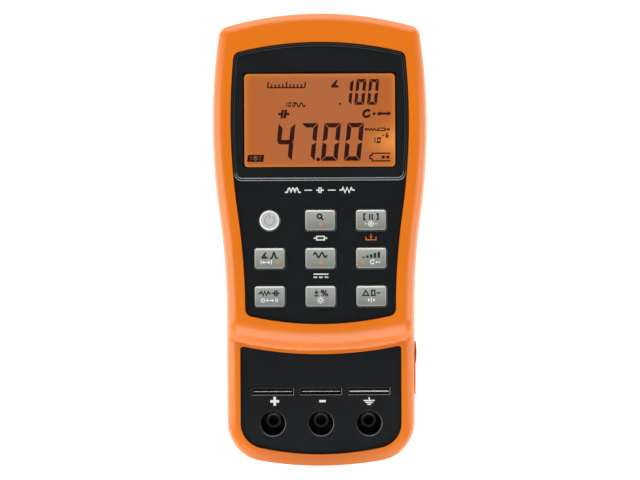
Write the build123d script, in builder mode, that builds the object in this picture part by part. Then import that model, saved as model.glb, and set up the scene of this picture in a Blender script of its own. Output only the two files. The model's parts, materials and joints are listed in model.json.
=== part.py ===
from build123d import *
import math
import os

# Handheld component tester (capacitance, inductance and resistance meter), millimetres.
# It lies on its back: +Z comes out of its front face, +Y points to the display end,
# and the origin is on the resting plane, under the middle of the case.

os.makedirs("parts", exist_ok=True)

# ---- walls and clearances ----
SKIN = 1.8              # soft overmoulded skin
WALL = 2.2              # hard case wall
PANEL_WALL = 2.6        # thickness of the panels
FIT = 0.15              # clearance between hard pieces that are only laid in
RUN = 0.3               # clearance round moving pieces
THREAD_PLAY = 0.04      # round screws, inserts and feet in their holes
SPARE = 1.0             # how far a cut runs past what it cuts

# ---- display ----
LCD_VIEW_W = 59.2
LCD_VIEW_H = 36.6
LCD_VIEW_R = 1.5
LCD_BORDER_W = 4.4      # glass beyond the view, left and right
LCD_BORDER_H = 4.2      # glass beyond the view, above and below
LCD_T = 2.6
LCD_RISE = 3.95         # underside of the glass over its board
LCD_FRAME_WALL = 2.4
LCD_FRAME_R = 1.2
LCD_LEDGE = 4.0         # how far the frame reaches under the glass
VIEW_ABOVE = 12.2       # view to the key panel's upper edge
VIEW_BELOW = 4.4        # view to the window's lower edge
VIEW_BESIDE = 5.3       # view to the key panel's side
LENS_INSET = 1.5        # window's edge to the edge of the key panel
LENS_T = 1.5
LENS_CORNER_R = 2.0
LENS_RIM_W = 0.9        # raised rim round the window's bed
LENS_RIM_H = 0.3
LENS_PROUD = 0.2
TAPE_T = 0.2            # adhesive under the window
TAPE_W = 2.0
TAPE_INSET = 0.5
GUIDE_T = 3.6           # light guide behind the display
ZEBRA_W = 2.0
ZEBRA_INSET = 6.0       # from the glass's end to the end of a strip
LED_W = 2.4
LED_DEEP = 1.2
LED_H = 1.4
LED_COUNT = 4
LED_PITCH = 8.0

# ---- keys ----
KEY_W = 11.7
KEY_H = 7.9
KEY_CORNER_R = 1.0
KEY_INNER_R = 0.25      # least corner of the forms inside a key
POWER_KEY_R = 3.85
KEY_PITCH_X = 19.85
KEY_PITCH_Y = 14.87
KEY_ROWS = 3
KEY_ABOVE = 16.6        # window's lower edge to the upper row
KEY_BELOW = 10.95       # lower row to the key panel's lower edge
KEY_PROUD = 1.2         # keys end flush with the soft frame
KEY_BEVEL = 0.55
KEY_BEVEL_SIDE = 0.275  # how far the bevel comes in from the key's side
KEY_GAP = 0.3           # gap round each key in its opening
KEY_LIP = 0.9           # lip that keeps a key in its opening
KEY_LIP_T = 1.0
KEY_LIP_PLAY = 0.2
KEY_TRAVEL = 0.9
PILL_IN = 1.6           # contact pill, inside the key's outline
PILL_GAP = 0.05         # pill to board when the key is down
MAT_T = 1.2
MAT_MARGIN = 3.0
MAT_CORNER_R = 2.0
WEB_H = 2.0
WEB_T = 0.7
WEB_FLARE = 1.0
OPENING_CHAMFER = 0.25  # broken edge round the openings for keys, plugs and leads

# ---- terminals ----
JACK_PITCH = 19.05
JACK_BORE_R = 2.0
JACK_R = 2.95
JACK_BORE_L = 17.0
JACK_FLOOR_T = 1.0
JACK_COLLAR_R = 4.2
JACK_COLLAR_T = 0.3
JACK_RISE = 0.6         # sleeve's rim over the main board
JACK_PLAY = 0.05
JACK_BELOW = 12.2       # jacks to the terminal panel's lower edge
WELL_R = 4.9
WELL_WALL = 1.2
WELL_GAP = 0.2          # end of a well to the jack's rim
SLOT_W = 16.2
SLOT_H = 2.4
SLOT_ABOVE = 12.6       # jacks to the slots
CONTACT_W = 14.6
CONTACT_T = 0.4
CONTACT_BASE = 1.6
CONTACT_PINCH_DROP = 3.4
CONTACT_PINCH = 0.3
CONTACT_TIP_DROP = 0.9
CONTACT_TIP = 0.75

# ---- front frame and its slope ----
FRAME_W = 8.6           # soft frame beside the key panel
TOP_FRAME_L = 14.6      # soft frame above the key panel
DECK_FRAME_W = 6.3      # soft frame beside the terminal panel
END_FRAME_L = 7.2       # soft frame below the terminal panel
DECK_BESIDE = 4.65      # outer slots to the terminal panel's side
DECK_ABOVE = 27.5       # jacks to the terminal panel's upper edge
PANEL_DROP = 1.2        # the charcoal panels lie this far under the soft frame
DECK_DROP = 5.0         # the terminal deck lies this far under the display level
SLOPE_ANGLE = 45.0      # the band that leads down to the deck
SLOPE_BLEND_R = 8.0     # soft upper edge of that band
SLOPE_FOOT_R = 1.5      # hollow at its foot
SLOPE_ABOVE = 1.9       # key panel's lower edge to the start of that band
SLOPE_BELOW = 1.2       # foot of that band to the terminal panel
SLOPE_R = 144.0         # its radius in plan

# ---- corners and crowns of the front view ----
TOP_R = 138.0           # crown of the display end
TOP_CORNER_R = 4.5
BOTTOM_R = 139.0        # crown of the terminal end
BOTTOM_CORNER_R = 16.0
PANEL_TOP_R = 134.0
PANEL_BOTTOM_R = 122.0
PANEL_CORNER_R = 3.0
DECK_TOP_R = 152.0
DECK_TOP_CORNER_R = 1.2
DECK_BOTTOM_R = 110.0
DECK_BOTTOM_CORNER_R = 10.0
WAIST_ABOVE = 7.0       # start of the slope to where the sides become straight
SIDE_DRAFT = 6.0        # lean of the sides away from the joint of the halves
END_DRAFT = 9.5         # lean of the two ends
EDGE_R = 4.0            # rounding of the front frame's outer edge
BACK_EDGE_R = 3.0       # rounding of the back's outer edge
BACK_FRAME_W = 3.2      # soft frame round the back
PART_CHAMFER = 0.4      # groove round the joint of the two halves

# ---- battery, in the back ----
FOOT_H = 1.0            # how far the feet lift the back off the bench
BATTERY_W = 26.2
BATTERY_L = 45.6
BATTERY_T = 17.2
BATTERY_CORNER_R = 2.0
BATTERY_PLAY = 0.4
BAY_WALL = 1.4
BAY_ROOF = 1.25
SNAP_T = 4.6
SNAP_W = 24.0
SNAP_H = 12.0
SNAP_CORNER_R = 2.0
TERMINAL_PITCH = 12.7
TERMINAL_R = 2.9
TERMINAL_L = 2.9
FOAM_T = 0.4
FOAM_MARGIN = 2.0
COVER_T = 2.0
COVER_LAP = 3.5         # cover beyond the sides of the bay
COVER_END = 9.6         # cover beyond the ends of the bay
COVER_CORNER_R = 3.0
COVER_SCREW_INSET = 4.0
COVER_SEAT_W = 1.6
COVER_SEAT_T = 1.4
COVER_GRIP_COUNT = 5
COVER_GRIP_PITCH = 3.0
COVER_GRIP_L = 16.0
COVER_GRIP_W = 1.2
COVER_GRIP_DEEP = 0.5
INSERT_R = 2.3
INSERT_L = 4.0
COVER_SCREW_L = 6.0
COVER_SCREW_HEAD_R = 2.75
COVER_SCREW_HEAD_H = 1.3

# ---- tilt stand ----
STAND_LEG_W = 7.2
STAND_T = 3.4
STAND_FOOT_L = 7.0
STAND_BRIDGE_L = 8.0
STAND_TO_COVER = 3.2    # stand to the battery cover, along the case
STAND_BESIDE = 2.8      # stand to the battery cover, across the case
STAND_BELOW = 28.0      # stand's foot to the terminal end
STAND_CORNER_R = 3.0
STAND_PIN_R = 1.2
STAND_PIN_L = 2.4
STAND_PIN_PLAY = 0.06
STAND_BEHIND = 0.4      # room behind the folded stand
STAND_HEEL_ROOM = 0.5
POCKET_WALL = 1.6
NOTCH_W = 18.0
NOTCH_L = 5.0
NOTCH_R = 2.5
NOTCH_DEEP = 2.6

# ---- boards ----
BOARD_T = 1.6
BOARD_GAP = 0.8         # board edge to the case wall
BOARD_OVER_BAY = 0.45   # main board over the battery bay
HEADER_H = 4.7          # between the two boards
HEADER_L = 25.4
HEADER_W = 5.0
HEADER_INSET = 6.5      # headers to the ends of the stretch that both boards share
POST_R = 3.0
POST_GAP = 1.6          # display frame to the posts
POST_X = 25.0
BOARD_SCREW_R = 1.1
BOARD_SCREW_L = 5.0
BOARD_SCREW_HEAD_R = 2.2
BOARD_SCREW_HEAD_H = 1.4
DISPLAY_BOARD_SHORT = 2.1   # display board's end to the key panel's end
MAIN_BOARD_PAST = 15.1  # main board's end past the middle of the display
SUPPORT_INSET = 1.1     # main board's supports to the case wall
SUPPORT_ABOVE = 5.0     # start of the slope to the lower supports
CHIP_XS = (-15.0, 11.0)
CHIP_SIZE = 14.0
CHIP_T = 1.6
RELAY_ABOVE = 12.5      # slots to the relays
RELAY_L = 14.0
RELAY_W = 7.4
RELAY_H = 6.5
RELAY_CHAMFER = 0.5
CAPACITOR_R = 3.15
CAPACITOR_H = 7.0
CAPACITOR_X = 25.0
CAPACITOR_PITCH = 8.0
CRYSTAL_X = 26.0
CRYSTAL_L = 11.0
CRYSTAL_W = 4.6
CRYSTAL_H = 3.5
BUZZER_X = -24.0
BUZZER_R = 6.0
BUZZER_H = 4.0
BUZZER_PORT_R = 1.2
BUZZER_PORT_DEEP = 1.0
BUZZER_ABOVE = 4.4      # upper key row to the buzzer and the crystal
SHIELD_BELOW = 12.9     # middle of the display to the shield and the chips
SHIELD_L = 34.0
SHIELD_W = 24.0
SHIELD_H = 4.5
SHIELD_T = 0.4

# ---- direct-current inlet in the right side ----
JOINT_BELOW = 3.6       # main board to the joint of the two halves
INLET_BELOW = 0.9       # terminal panel's upper edge to the inlet
INLET_NOSE_R = 3.2
INLET_BORE_R = 2.75
INLET_PIN_R = 1.05
INLET_PIN_SHORT = 1.0
INLET_PIN_CHAMFER = 0.35
INLET_BODY_W = 9.0
INLET_BODY_L = 13.0
INLET_BODY_H = 10.4
INLET_BORE_L = 9.5
INLET_NOSE_L = 3.3
INLET_HOLE_R = 3.45
PAD_SHIFT = 6.3         # raised pad's middle to the inlet, along the side
PAD_L = 21.0
PAD_H = 12.0
PAD_R = 4.0
PAD_PROUD = 0.5

# ---- case screws and feet ----
SCREW_R = 1.5
SCREW_HEAD_R = 2.8
SCREW_HEAD_H = 2.0
SCREW_HEAD_FILLET = 0.6
SCREW_L = 12.0
SCREW_SEAT_DROP = 7.0   # screw seats under the joint of the halves
SCREW_TOP_IN = (10.5, 13.5)     # upper screws, in from the widest side and the end
SCREW_LOW_IN = (8.7, 22.0)      # lower screws, in from the straight side and the end
BOSS_WALL = 2.1
FOOT_R = 4.5
FOOT_BED = 0.6
FOOT_CHAMFER = 0.35
FOOT_X = 17.0
FOOT_IN = 15.5          # feet to the ends of the case

# ---- levels, from the bench up to the front frame ----
BACK_Z = FOOT_H
COVER_TOP_Z = BACK_Z + COVER_T
BATTERY_Z = COVER_TOP_Z + FOAM_T + FIT
BATTERY_MID_Z = BATTERY_Z + BATTERY_T / 2
BAY_TOP_Z = BATTERY_Z + BATTERY_T + FIT
MAIN_BOARD_Z = BAY_TOP_Z + BAY_ROOF + BOARD_OVER_BAY
MAIN_BOARD_TOP_Z = MAIN_BOARD_Z + BOARD_T
DISPLAY_BOARD_Z = MAIN_BOARD_TOP_Z + HEADER_H
DISPLAY_BOARD_TOP_Z = DISPLAY_BOARD_Z + BOARD_T
LCD_BOTTOM_Z = DISPLAY_BOARD_TOP_Z + LCD_RISE
LCD_TOP_Z = LCD_BOTTOM_Z + LCD_T
PANEL_INNER_Z = LCD_TOP_Z + FIT
PANEL_Z = PANEL_INNER_Z + PANEL_WALL
DEPTH = PANEL_Z + PANEL_DROP
DECK_Z = DEPTH - DECK_DROP
DECK_PANEL_Z = DECK_Z - PANEL_DROP
DECK_INNER_Z = DECK_PANEL_Z - PANEL_WALL
LENS_TOP_Z = PANEL_Z + LENS_PROUD
LENS_BED_Z = LENS_TOP_Z - LENS_T - TAPE_T
MAT_TOP_Z = DISPLAY_BOARD_TOP_Z + MAT_T
WEB_TOP_Z = MAT_TOP_Z + WEB_H
KEY_TOP_Z = PANEL_Z + KEY_PROUD
KEY_LIP_TOP_Z = PANEL_INNER_Z - KEY_LIP_PLAY
PILL_BOTTOM_Z = DISPLAY_BOARD_TOP_Z + KEY_TRAVEL + PILL_GAP
JACK_TOP_Z = MAIN_BOARD_TOP_Z + JACK_RISE
PART_Z = MAIN_BOARD_Z - JOINT_BELOW     # joint between the two halves
SCREW_SEAT_Z = PART_Z - SCREW_SEAT_DROP
INLET_Z = PART_Z        # the inlet looks out through that joint
FLOOR_Z = BACK_Z + WALL
RIM_FLOOR_Z = BACK_Z + SKIN + WALL
STAND_PIVOT_Z = BACK_Z + STAND_T / 2
POCKET_Z = BACK_Z + STAND_T + STAND_BEHIND

# ---- places along the case, from the display end to the terminal end ----
SLOPE = math.radians(SLOPE_ANGLE)
SLOPE_RUN = (
    DECK_DROP * math.cos(SLOPE) + (SLOPE_BLEND_R + SLOPE_FOOT_R) * (1 - math.cos(SLOPE))
) / math.sin(SLOPE)
LENS_L = VIEW_ABOVE + LCD_VIEW_H + VIEW_BELOW
KEY_BLOCK_L = (KEY_ROWS - 1) * KEY_PITCH_Y
LENGTH = (
    TOP_FRAME_L + LENS_L + KEY_ABOVE + KEY_BLOCK_L + KEY_BELOW
    + SLOPE_ABOVE + SLOPE_RUN + SLOPE_BELOW + DECK_ABOVE + JACK_BELOW + END_FRAME_L
)
PANEL_TOP_Y = LENGTH / 2 - TOP_FRAME_L
LENS_BOTTOM_Y = PANEL_TOP_Y - LENS_L
LCD_Y = LENS_BOTTOM_Y + VIEW_BELOW + LCD_VIEW_H / 2
KEY_TOP_ROW_Y = LENS_BOTTOM_Y - KEY_ABOVE
PANEL_BOTTOM_Y = KEY_TOP_ROW_Y - KEY_BLOCK_L - KEY_BELOW
SLOPE_TOP_Y = PANEL_BOTTOM_Y - SLOPE_ABOVE
SLOPE_FOOT_Y = SLOPE_TOP_Y - SLOPE_RUN
SLOPE_CENTRE_Y = SLOPE_TOP_Y + SLOPE_R
DECK_TOP_Y = SLOPE_FOOT_Y - SLOPE_BELOW
JACK_Y = DECK_TOP_Y - DECK_ABOVE
SLOT_Y = JACK_Y + SLOT_ABOVE
DECK_BOTTOM_Y = JACK_Y - JACK_BELOW
WAIST_Y = SLOPE_TOP_Y + WAIST_ABOVE
INLET_Y = DECK_TOP_Y - INLET_BELOW
PAD_Y = INLET_Y - PAD_SHIFT
RELAY_Y = SLOT_Y + RELAY_ABOVE
BUZZER_Y = KEY_TOP_ROW_Y + BUZZER_ABOVE
SHIELD_Y = LCD_Y - SHIELD_BELOW
DISPLAY_BOARD_END_Y = PANEL_BOTTOM_Y + DISPLAY_BOARD_SHORT
MAIN_BOARD_END_Y = LCD_Y + MAIN_BOARD_PAST
HEADER_YS = (MAIN_BOARD_END_Y - HEADER_INSET, DISPLAY_BOARD_END_Y + HEADER_INSET)
STAND_END_Y = STAND_BELOW - LENGTH / 2
COVER_BOTTOM_Y = STAND_END_Y + STAND_FOOT_L + STAND_TO_COVER
BAY_START_Y = COVER_BOTTOM_Y + COVER_END
BATTERY_Y = BAY_START_Y + BATTERY_PLAY + BATTERY_L / 2
BATTERY_END_Y = BATTERY_Y + BATTERY_L / 2
BAY_END_Y = BATTERY_END_Y + SNAP_T + 2 * BATTERY_PLAY
COVER_TOP_Y = BAY_END_Y + COVER_END
COVER_Y = (COVER_TOP_Y + COVER_BOTTOM_Y) / 2
COVER_L = COVER_TOP_Y - COVER_BOTTOM_Y
STAND_PIVOT_Y = COVER_TOP_Y + STAND_TO_COVER + STAND_BRIDGE_L
POCKET_END_Y = STAND_PIVOT_Y + STAND_T / 2 + STAND_HEEL_ROOM

# ---- places across the case ----
HALF_WIDE = LCD_VIEW_W / 2 + VIEW_BESIDE + FRAME_W      # beside the display
DECK_HALF_W = JACK_PITCH + SLOT_W / 2 + DECK_BESIDE
HALF_WAIST = DECK_HALF_W + DECK_FRAME_W                 # grip and terminal end
SIDE_DX = (HALF_WIDE - HALF_WAIST) / 2
SIDE_DY = (LCD_Y - WAIST_Y) / 2
SIDE_R = (SIDE_DX**2 + SIDE_DY**2) / (2 * SIDE_DX)
SIDE_ANGLE = math.degrees(math.asin(SIDE_DY / SIDE_R))
CROWN_ANGLE = math.degrees(math.asin((LENGTH / 2 + EDGE_R - LCD_Y) / SIDE_R))
BAY_W = BATTERY_W + 2 * BATTERY_PLAY
COVER_W = BAY_W + 2 * COVER_LAP
STAND_W = COVER_W + 2 * STAND_BESIDE + 2 * STAND_LEG_W
LCD_W = LCD_VIEW_W + 2 * LCD_BORDER_W
LCD_H = LCD_VIEW_H + 2 * LCD_BORDER_H
LCD_FRAME_W = LCD_W + 2 * LCD_FRAME_WALL
LCD_FRAME_H = LCD_H + 2 * LCD_FRAME_WALL
GUIDE_W = LCD_W - 2 * LCD_LEDGE - 2 * RUN
GUIDE_H = LCD_H - 2 * LCD_LEDGE - 2 * RUN
ZEBRA_L = LCD_W - 2 * ZEBRA_INSET
MAT_W = 2 * KEY_PITCH_X + KEY_W + 2 * MAT_MARGIN
MAT_H = KEY_BLOCK_L + KEY_H + 2 * MAT_MARGIN
BOSS_R = SCREW_R + BOSS_WALL

# ---- spots ----
JACK_XS = (-JACK_PITCH, 0.0, JACK_PITCH)
JACK_SPOTS = tuple((x, JACK_Y) for x in JACK_XS)
SLOT_SPOTS = tuple((x, SLOT_Y) for x in JACK_XS)
KEY_XS = (-KEY_PITCH_X, 0.0, KEY_PITCH_X)
KEY_YS = tuple(KEY_TOP_ROW_Y - row * KEY_PITCH_Y for row in range(KEY_ROWS))
POWER_SPOT = (KEY_XS[0], KEY_YS[0])
KEY_SPOTS = tuple((x, y) for y in KEY_YS for x in KEY_XS)[1:]
KEYPAD_Y = (KEY_YS[0] + KEY_YS[-1]) / 2
ZEBRA_YS = tuple(LCD_Y + side * (LCD_H - LCD_LEDGE) / 2 for side in (-1, 1))
LED_YS = tuple(LCD_Y + (i - (LED_COUNT - 1) / 2) * LED_PITCH for i in range(LED_COUNT))
POST_REACH = LCD_FRAME_H / 2 + POST_GAP + POST_R
LOWER_POST_X = LCD_FRAME_W / 2 - POST_R - POST_GAP
POST_SPOTS = tuple(
    (side * x, LCD_Y + y)
    for side in (-1, 1)
    for x, y in ((POST_X, POST_REACH), (LOWER_POST_X, -POST_REACH))
)
SUPPORT_X = HALF_WAIST - SKIN - WALL - SUPPORT_INSET - POST_R
SUPPORT_YS = (HEADER_YS[0], SLOPE_TOP_Y + SUPPORT_ABOVE)
SUPPORT_SPOTS = tuple((side * SUPPORT_X, y) for side in (-1, 1) for y in SUPPORT_YS)
CHIP_SPOTS = tuple((x, SHIELD_Y) for x in CHIP_XS)
RELAY_SPOTS = tuple((x, RELAY_Y) for x in JACK_XS)
CAPACITOR_SPOTS = tuple(
    (-CAPACITOR_X, SLOT_Y + CAPACITOR_PITCH * step) for step in (0.5, 1.5)
) + ((CAPACITOR_X, SLOT_Y),)
UPPER_SCREW_SPOTS = tuple(
    (side * (HALF_WIDE - SCREW_TOP_IN[0]), LENGTH / 2 - SCREW_TOP_IN[1]) for side in (-1, 1)
)
LOWER_SCREW_SPOTS = tuple(
    (side * (HALF_WAIST - SCREW_LOW_IN[0]), SCREW_LOW_IN[1] - LENGTH / 2) for side in (-1, 1)
)
SCREW_SPOTS = UPPER_SCREW_SPOTS + LOWER_SCREW_SPOTS
COVER_SCREW_YS = (COVER_TOP_Y - COVER_SCREW_INSET, COVER_BOTTOM_Y + COVER_SCREW_INSET)
COVER_SCREW_SPOTS = tuple((0.0, y) for y in COVER_SCREW_YS)
FOOT_SPOTS = tuple(
    (side * FOOT_X, end * (LENGTH / 2 - FOOT_IN)) for side in (-1, 1) for end in (-1, 1)
)

KEY_NAMES = (
    "key_identify", "key_hold", "key_quality", "key_frequency",
    "key_range", "key_function", "key_tolerance", "key_null",
)


def save(piece, name):
    """Label a finished sub-part and write it as one STEP file."""
    piece.part.label = name
    export_step(piece.part, f"parts/{name}.step")


# ================= forms shared by the case pieces =================


def upright_block(face, low_z, high_z, upper_corner_r, lower_corner_r):
    """A face of the front view raised between two heights, with its corners rounded."""
    with BuildPart() as block:
        with BuildSketch(Plane.XY.offset(low_z)):
            add(face)
        extrude(amount=high_z - low_z)
        round_corners(block, upper_corner_r, lower_corner_r)
    return block.part


def round_corners(block, upper_r, lower_r):
    """Round the two upright corners nearest the display end and the two nearest the
    terminal end. A radius of zero or less leaves them sharp."""
    height = block.part.bounding_box().size.Z
    upright = block.edges().filter_by(lambda edge: edge.bounding_box().size.Z > height - FIT)
    ends = upright.group_by(Axis.Y)
    if upper_r > 0:
        fillet(ends[-1], upper_r)
    if lower_r > 0:
        fillet(ends[0], lower_r)


def narrowing(draft, z):
    """How far a drafted wall has come in at a height, away from the joint of the halves."""
    return abs(z - PART_Z) * math.tan(math.radians(draft))


def case_sides(inset):
    """The case between its two sides, moved inwards and running past both ends. Each side is
    a convex arc beside the display and a concave one down to the waist."""
    with BuildSketch() as face:
        with BuildLine():
            waist = CenterArc(
                (HALF_WAIST + SIDE_R, WAIST_Y), SIDE_R + inset, 180 - SIDE_ANGLE, SIDE_ANGLE
            )
            flank = CenterArc(
                (HALF_WIDE - SIDE_R, LCD_Y), SIDE_R - inset, -SIDE_ANGLE, SIDE_ANGLE + CROWN_ANGLE
            )
            beyond_end = (waist @ 1) - Vector(0, LENGTH)
            Polyline(flank @ 1, (0, (flank @ 1).Y), (0, beyond_end.Y), beyond_end, waist @ 1)
        make_face()
        mirror(about=Plane.YZ)
    return face.sketch


def case_face(inset, z):
    """The case's outline at a height, moved inwards, with sharp corners. Sides and ends come in
    with the distance from the joint, the ends faster."""
    end_inset = inset + narrowing(END_DRAFT, z)
    with BuildSketch() as face:
        add(case_sides(inset + narrowing(SIDE_DRAFT, z)))
        with Locations((0, LENGTH / 2 - TOP_R)):
            Circle(TOP_R - end_inset, mode=Mode.INTERSECT)
        with Locations((0, BOTTOM_R - LENGTH / 2)):
            Circle(BOTTOM_R - end_inset, mode=Mode.INTERSECT)
    return face.sketch


def case_block(inset, low_z, high_z):
    """The case moved inwards, between two heights on one side of the joint."""
    with BuildPart() as block:
        for z in (low_z, high_z):
            with BuildSketch(Plane.XY.offset(z)):
                add(case_face(inset, z))
        loft(ruled=True)
        round_corners(block, TOP_CORNER_R - inset, BOTTOM_CORNER_R - inset)
    return block.part


def key_panel_face(inset):
    """The opening of the key panel moved inwards, with sharp corners."""
    with BuildSketch() as face:
        add(case_sides(FRAME_W + inset))
        with Locations((0, PANEL_TOP_Y - PANEL_TOP_R)):
            Circle(PANEL_TOP_R - inset, mode=Mode.INTERSECT)
        with Locations((0, PANEL_BOTTOM_Y + PANEL_BOTTOM_R)):
            Circle(PANEL_BOTTOM_R - inset, mode=Mode.INTERSECT)
    return face.sketch


def lens_block(inset, low_z, high_z):
    """The window's bed as a block: the upper part of the key panel's outline."""
    with BuildSketch() as face:
        add(key_panel_face(LENS_INSET + inset))
        with Locations((0, LENS_BOTTOM_Y + inset)):
            Rectangle(LENGTH, LENGTH, align=(Align.CENTER, Align.MIN), mode=Mode.INTERSECT)
    corner_r = LENS_CORNER_R - inset
    return upright_block(face.sketch, low_z, high_z, corner_r, corner_r)


def deck_panel_face():
    """The opening of the terminal panel, with sharp corners: its upper edge runs parallel
    to the slope and its lower edge follows the case's end."""
    with BuildSketch() as face:
        with Locations((0, JACK_Y)):
            Rectangle(2 * DECK_HALF_W, LENGTH)
        with Locations((0, DECK_TOP_Y + DECK_TOP_R)):
            Circle(DECK_TOP_R, mode=Mode.SUBTRACT)
        with Locations((0, DECK_BOTTOM_Y + DECK_BOTTOM_R)):
            Circle(DECK_BOTTOM_R, mode=Mode.INTERSECT)
    return face.sketch


def front_land(depth):
    """Everything under the front surface, moved down by depth: the flat display level, the
    soft blend, the slope with its hollow foot and the terminal deck, turned about the slope's
    centre."""
    with BuildPart() as land:
        with BuildSketch(Plane.YZ):
            with BuildLine():
                top = Line((SLOPE_CENTRE_Y, DEPTH - depth), (SLOPE_TOP_Y, DEPTH - depth))
                blend = CenterArc(
                    (SLOPE_TOP_Y, DEPTH - SLOPE_BLEND_R), SLOPE_BLEND_R - depth, 90, SLOPE_ANGLE
                )
                foot = CenterArc(
                    (SLOPE_FOOT_Y, DECK_Z + SLOPE_FOOT_R), SLOPE_FOOT_R + depth,
                    SLOPE_ANGLE - 90, -SLOPE_ANGLE,
                )
                Line(blend @ 1, foot @ 0)
                Polyline(foot @ 1, (-LENGTH, DECK_Z - depth), (-LENGTH, 0), (SLOPE_CENTRE_Y, 0), top @ 0)
            make_face()
        revolve(axis=Axis((0, SLOPE_CENTRE_Y, 0), (0, 0, 1)))
    return land.part


def outer_edges(part, low_z, high_z):
    """The edges that run round the outer wall between two heights, without the edges that
    climb the wall and without those that cross the front."""
    round_wall = part.edges().filter_by(
        lambda edge: low_z < edge.center().Z < high_z
        and edge.bounding_box().size.Z < DECK_DROP + FIT
    )
    return round_wall.filter_by(
        lambda edge: abs(edge.center().X) > DECK_HALF_W or abs(edge.center().Y) > -DECK_BOTTOM_Y
    )


key_panel = upright_block(key_panel_face(0), PART_Z, PANEL_Z, PANEL_CORNER_R, PANEL_CORNER_R)
deck_panel = upright_block(
    deck_panel_face(), PART_Z, DECK_PANEL_Z, DECK_TOP_CORNER_R, DECK_BOTTOM_CORNER_R
)


def inlet_pad(low_z, high_z):
    """The raised pad round the inlet between two heights, which follows the leaning side."""
    with BuildPart() as pad:
        with BuildSketch(Plane.YZ.offset(HALF_WAIST - SKIN - WALL)):
            with Locations((PAD_Y, INLET_Z)):
                RectangleRounded(PAD_L, PAD_H, PAD_R)
        extrude(amount=HALF_WAIST)
        add(case_block(-PAD_PROUD, low_z, high_z), mode=Mode.INTERSECT)
    return pad.part


with BuildPart() as inlet_hole:
    with BuildSketch(Plane.YZ.offset(HALF_WAIST - SKIN - WALL - INLET_NOSE_L)):
        with Locations((INLET_Y, INLET_Z)):
            Circle(INLET_HOLE_R)
    extrude(amount=HALF_WAIST)

# The outer form of the front half, and the hard case's form one skin inside it.
with BuildPart() as front_form:
    add(case_block(0, PART_Z, DEPTH + SPARE))
    add(front_land(0), mode=Mode.INTERSECT)
    fillet(outer_edges(front_form, PART_Z + WALL, DEPTH + SPARE), EDGE_R)
    chamfer(outer_edges(front_form, PART_Z - FIT, PART_Z + FIT), PART_CHAMFER)
    add(inlet_pad(PART_Z, DEPTH))

with BuildPart() as front_core:
    add(case_block(SKIN, PART_Z, DEPTH + SPARE))
    add(front_land(SKIN), mode=Mode.INTERSECT)
    fillet(outer_edges(front_core, PART_Z + WALL, DEPTH + SPARE), EDGE_R - SKIN)
    add(key_panel)
    add(deck_panel)


def board_blank(low_z, upper_y, lower_y):
    """A circuit board that follows the case wall between two places of the front view, with
    holes for the bosses of the case screws."""
    inset = SKIN + WALL + BOARD_GAP
    with BuildPart() as blank:
        add(
            upright_block(
                case_face(inset, low_z + BOARD_T), low_z, low_z + BOARD_T,
                TOP_CORNER_R - inset, BOTTOM_CORNER_R - inset,
            )
        )
        split(bisect_by=Plane.XZ.offset(-upper_y), keep=Keep.TOP)
        split(bisect_by=Plane.XZ.offset(-lower_y), keep=Keep.BOTTOM)
        with BuildSketch(Plane.XY.offset(low_z)):
            with Locations(*SCREW_SPOTS):
                Circle(BOSS_R + BOARD_GAP)
        extrude(amount=BOARD_T, mode=Mode.SUBTRACT)
    return blank.part


# ================= front half =================

with BuildPart() as front_overmould:
    add(front_form.part)
    add(front_core.part, mode=Mode.SUBTRACT)
    add(
        upright_block(
            key_panel_face(0), PANEL_Z, DEPTH + SPARE, PANEL_CORNER_R, PANEL_CORNER_R
        ),
        mode=Mode.SUBTRACT,
    )
    add(
        upright_block(
            deck_panel_face(), DECK_PANEL_Z, DEPTH + SPARE, DECK_TOP_CORNER_R,
            DECK_BOTTOM_CORNER_R,
        ),
        mode=Mode.SUBTRACT,
    )
    add(inlet_hole.part, mode=Mode.SUBTRACT)
save(front_overmould, "front_overmould")

with BuildPart() as front_hollow:
    add(case_block(SKIN + WALL, PART_Z, DEPTH))
    add(front_land(PANEL_DROP + PANEL_WALL), mode=Mode.INTERSECT)

# Bosses for the case screws and posts for the display board, no wider than the case itself.
with BuildPart() as front_bosses:
    with BuildSketch(Plane.XY.offset(PART_Z)):
        with Locations(*UPPER_SCREW_SPOTS):
            Circle(BOSS_R)
    extrude(amount=PANEL_INNER_Z - PART_Z)
    with BuildSketch(Plane.XY.offset(PART_Z)):
        with Locations(*LOWER_SCREW_SPOTS):
            Circle(BOSS_R)
    extrude(amount=DECK_INNER_Z - PART_Z)
    with BuildSketch(Plane.XY.offset(DISPLAY_BOARD_TOP_Z)):
        with Locations(*POST_SPOTS):
            Circle(POST_R)
    extrude(amount=PANEL_INNER_Z - DISPLAY_BOARD_TOP_Z)
    add(front_core.part, mode=Mode.INTERSECT)

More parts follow.
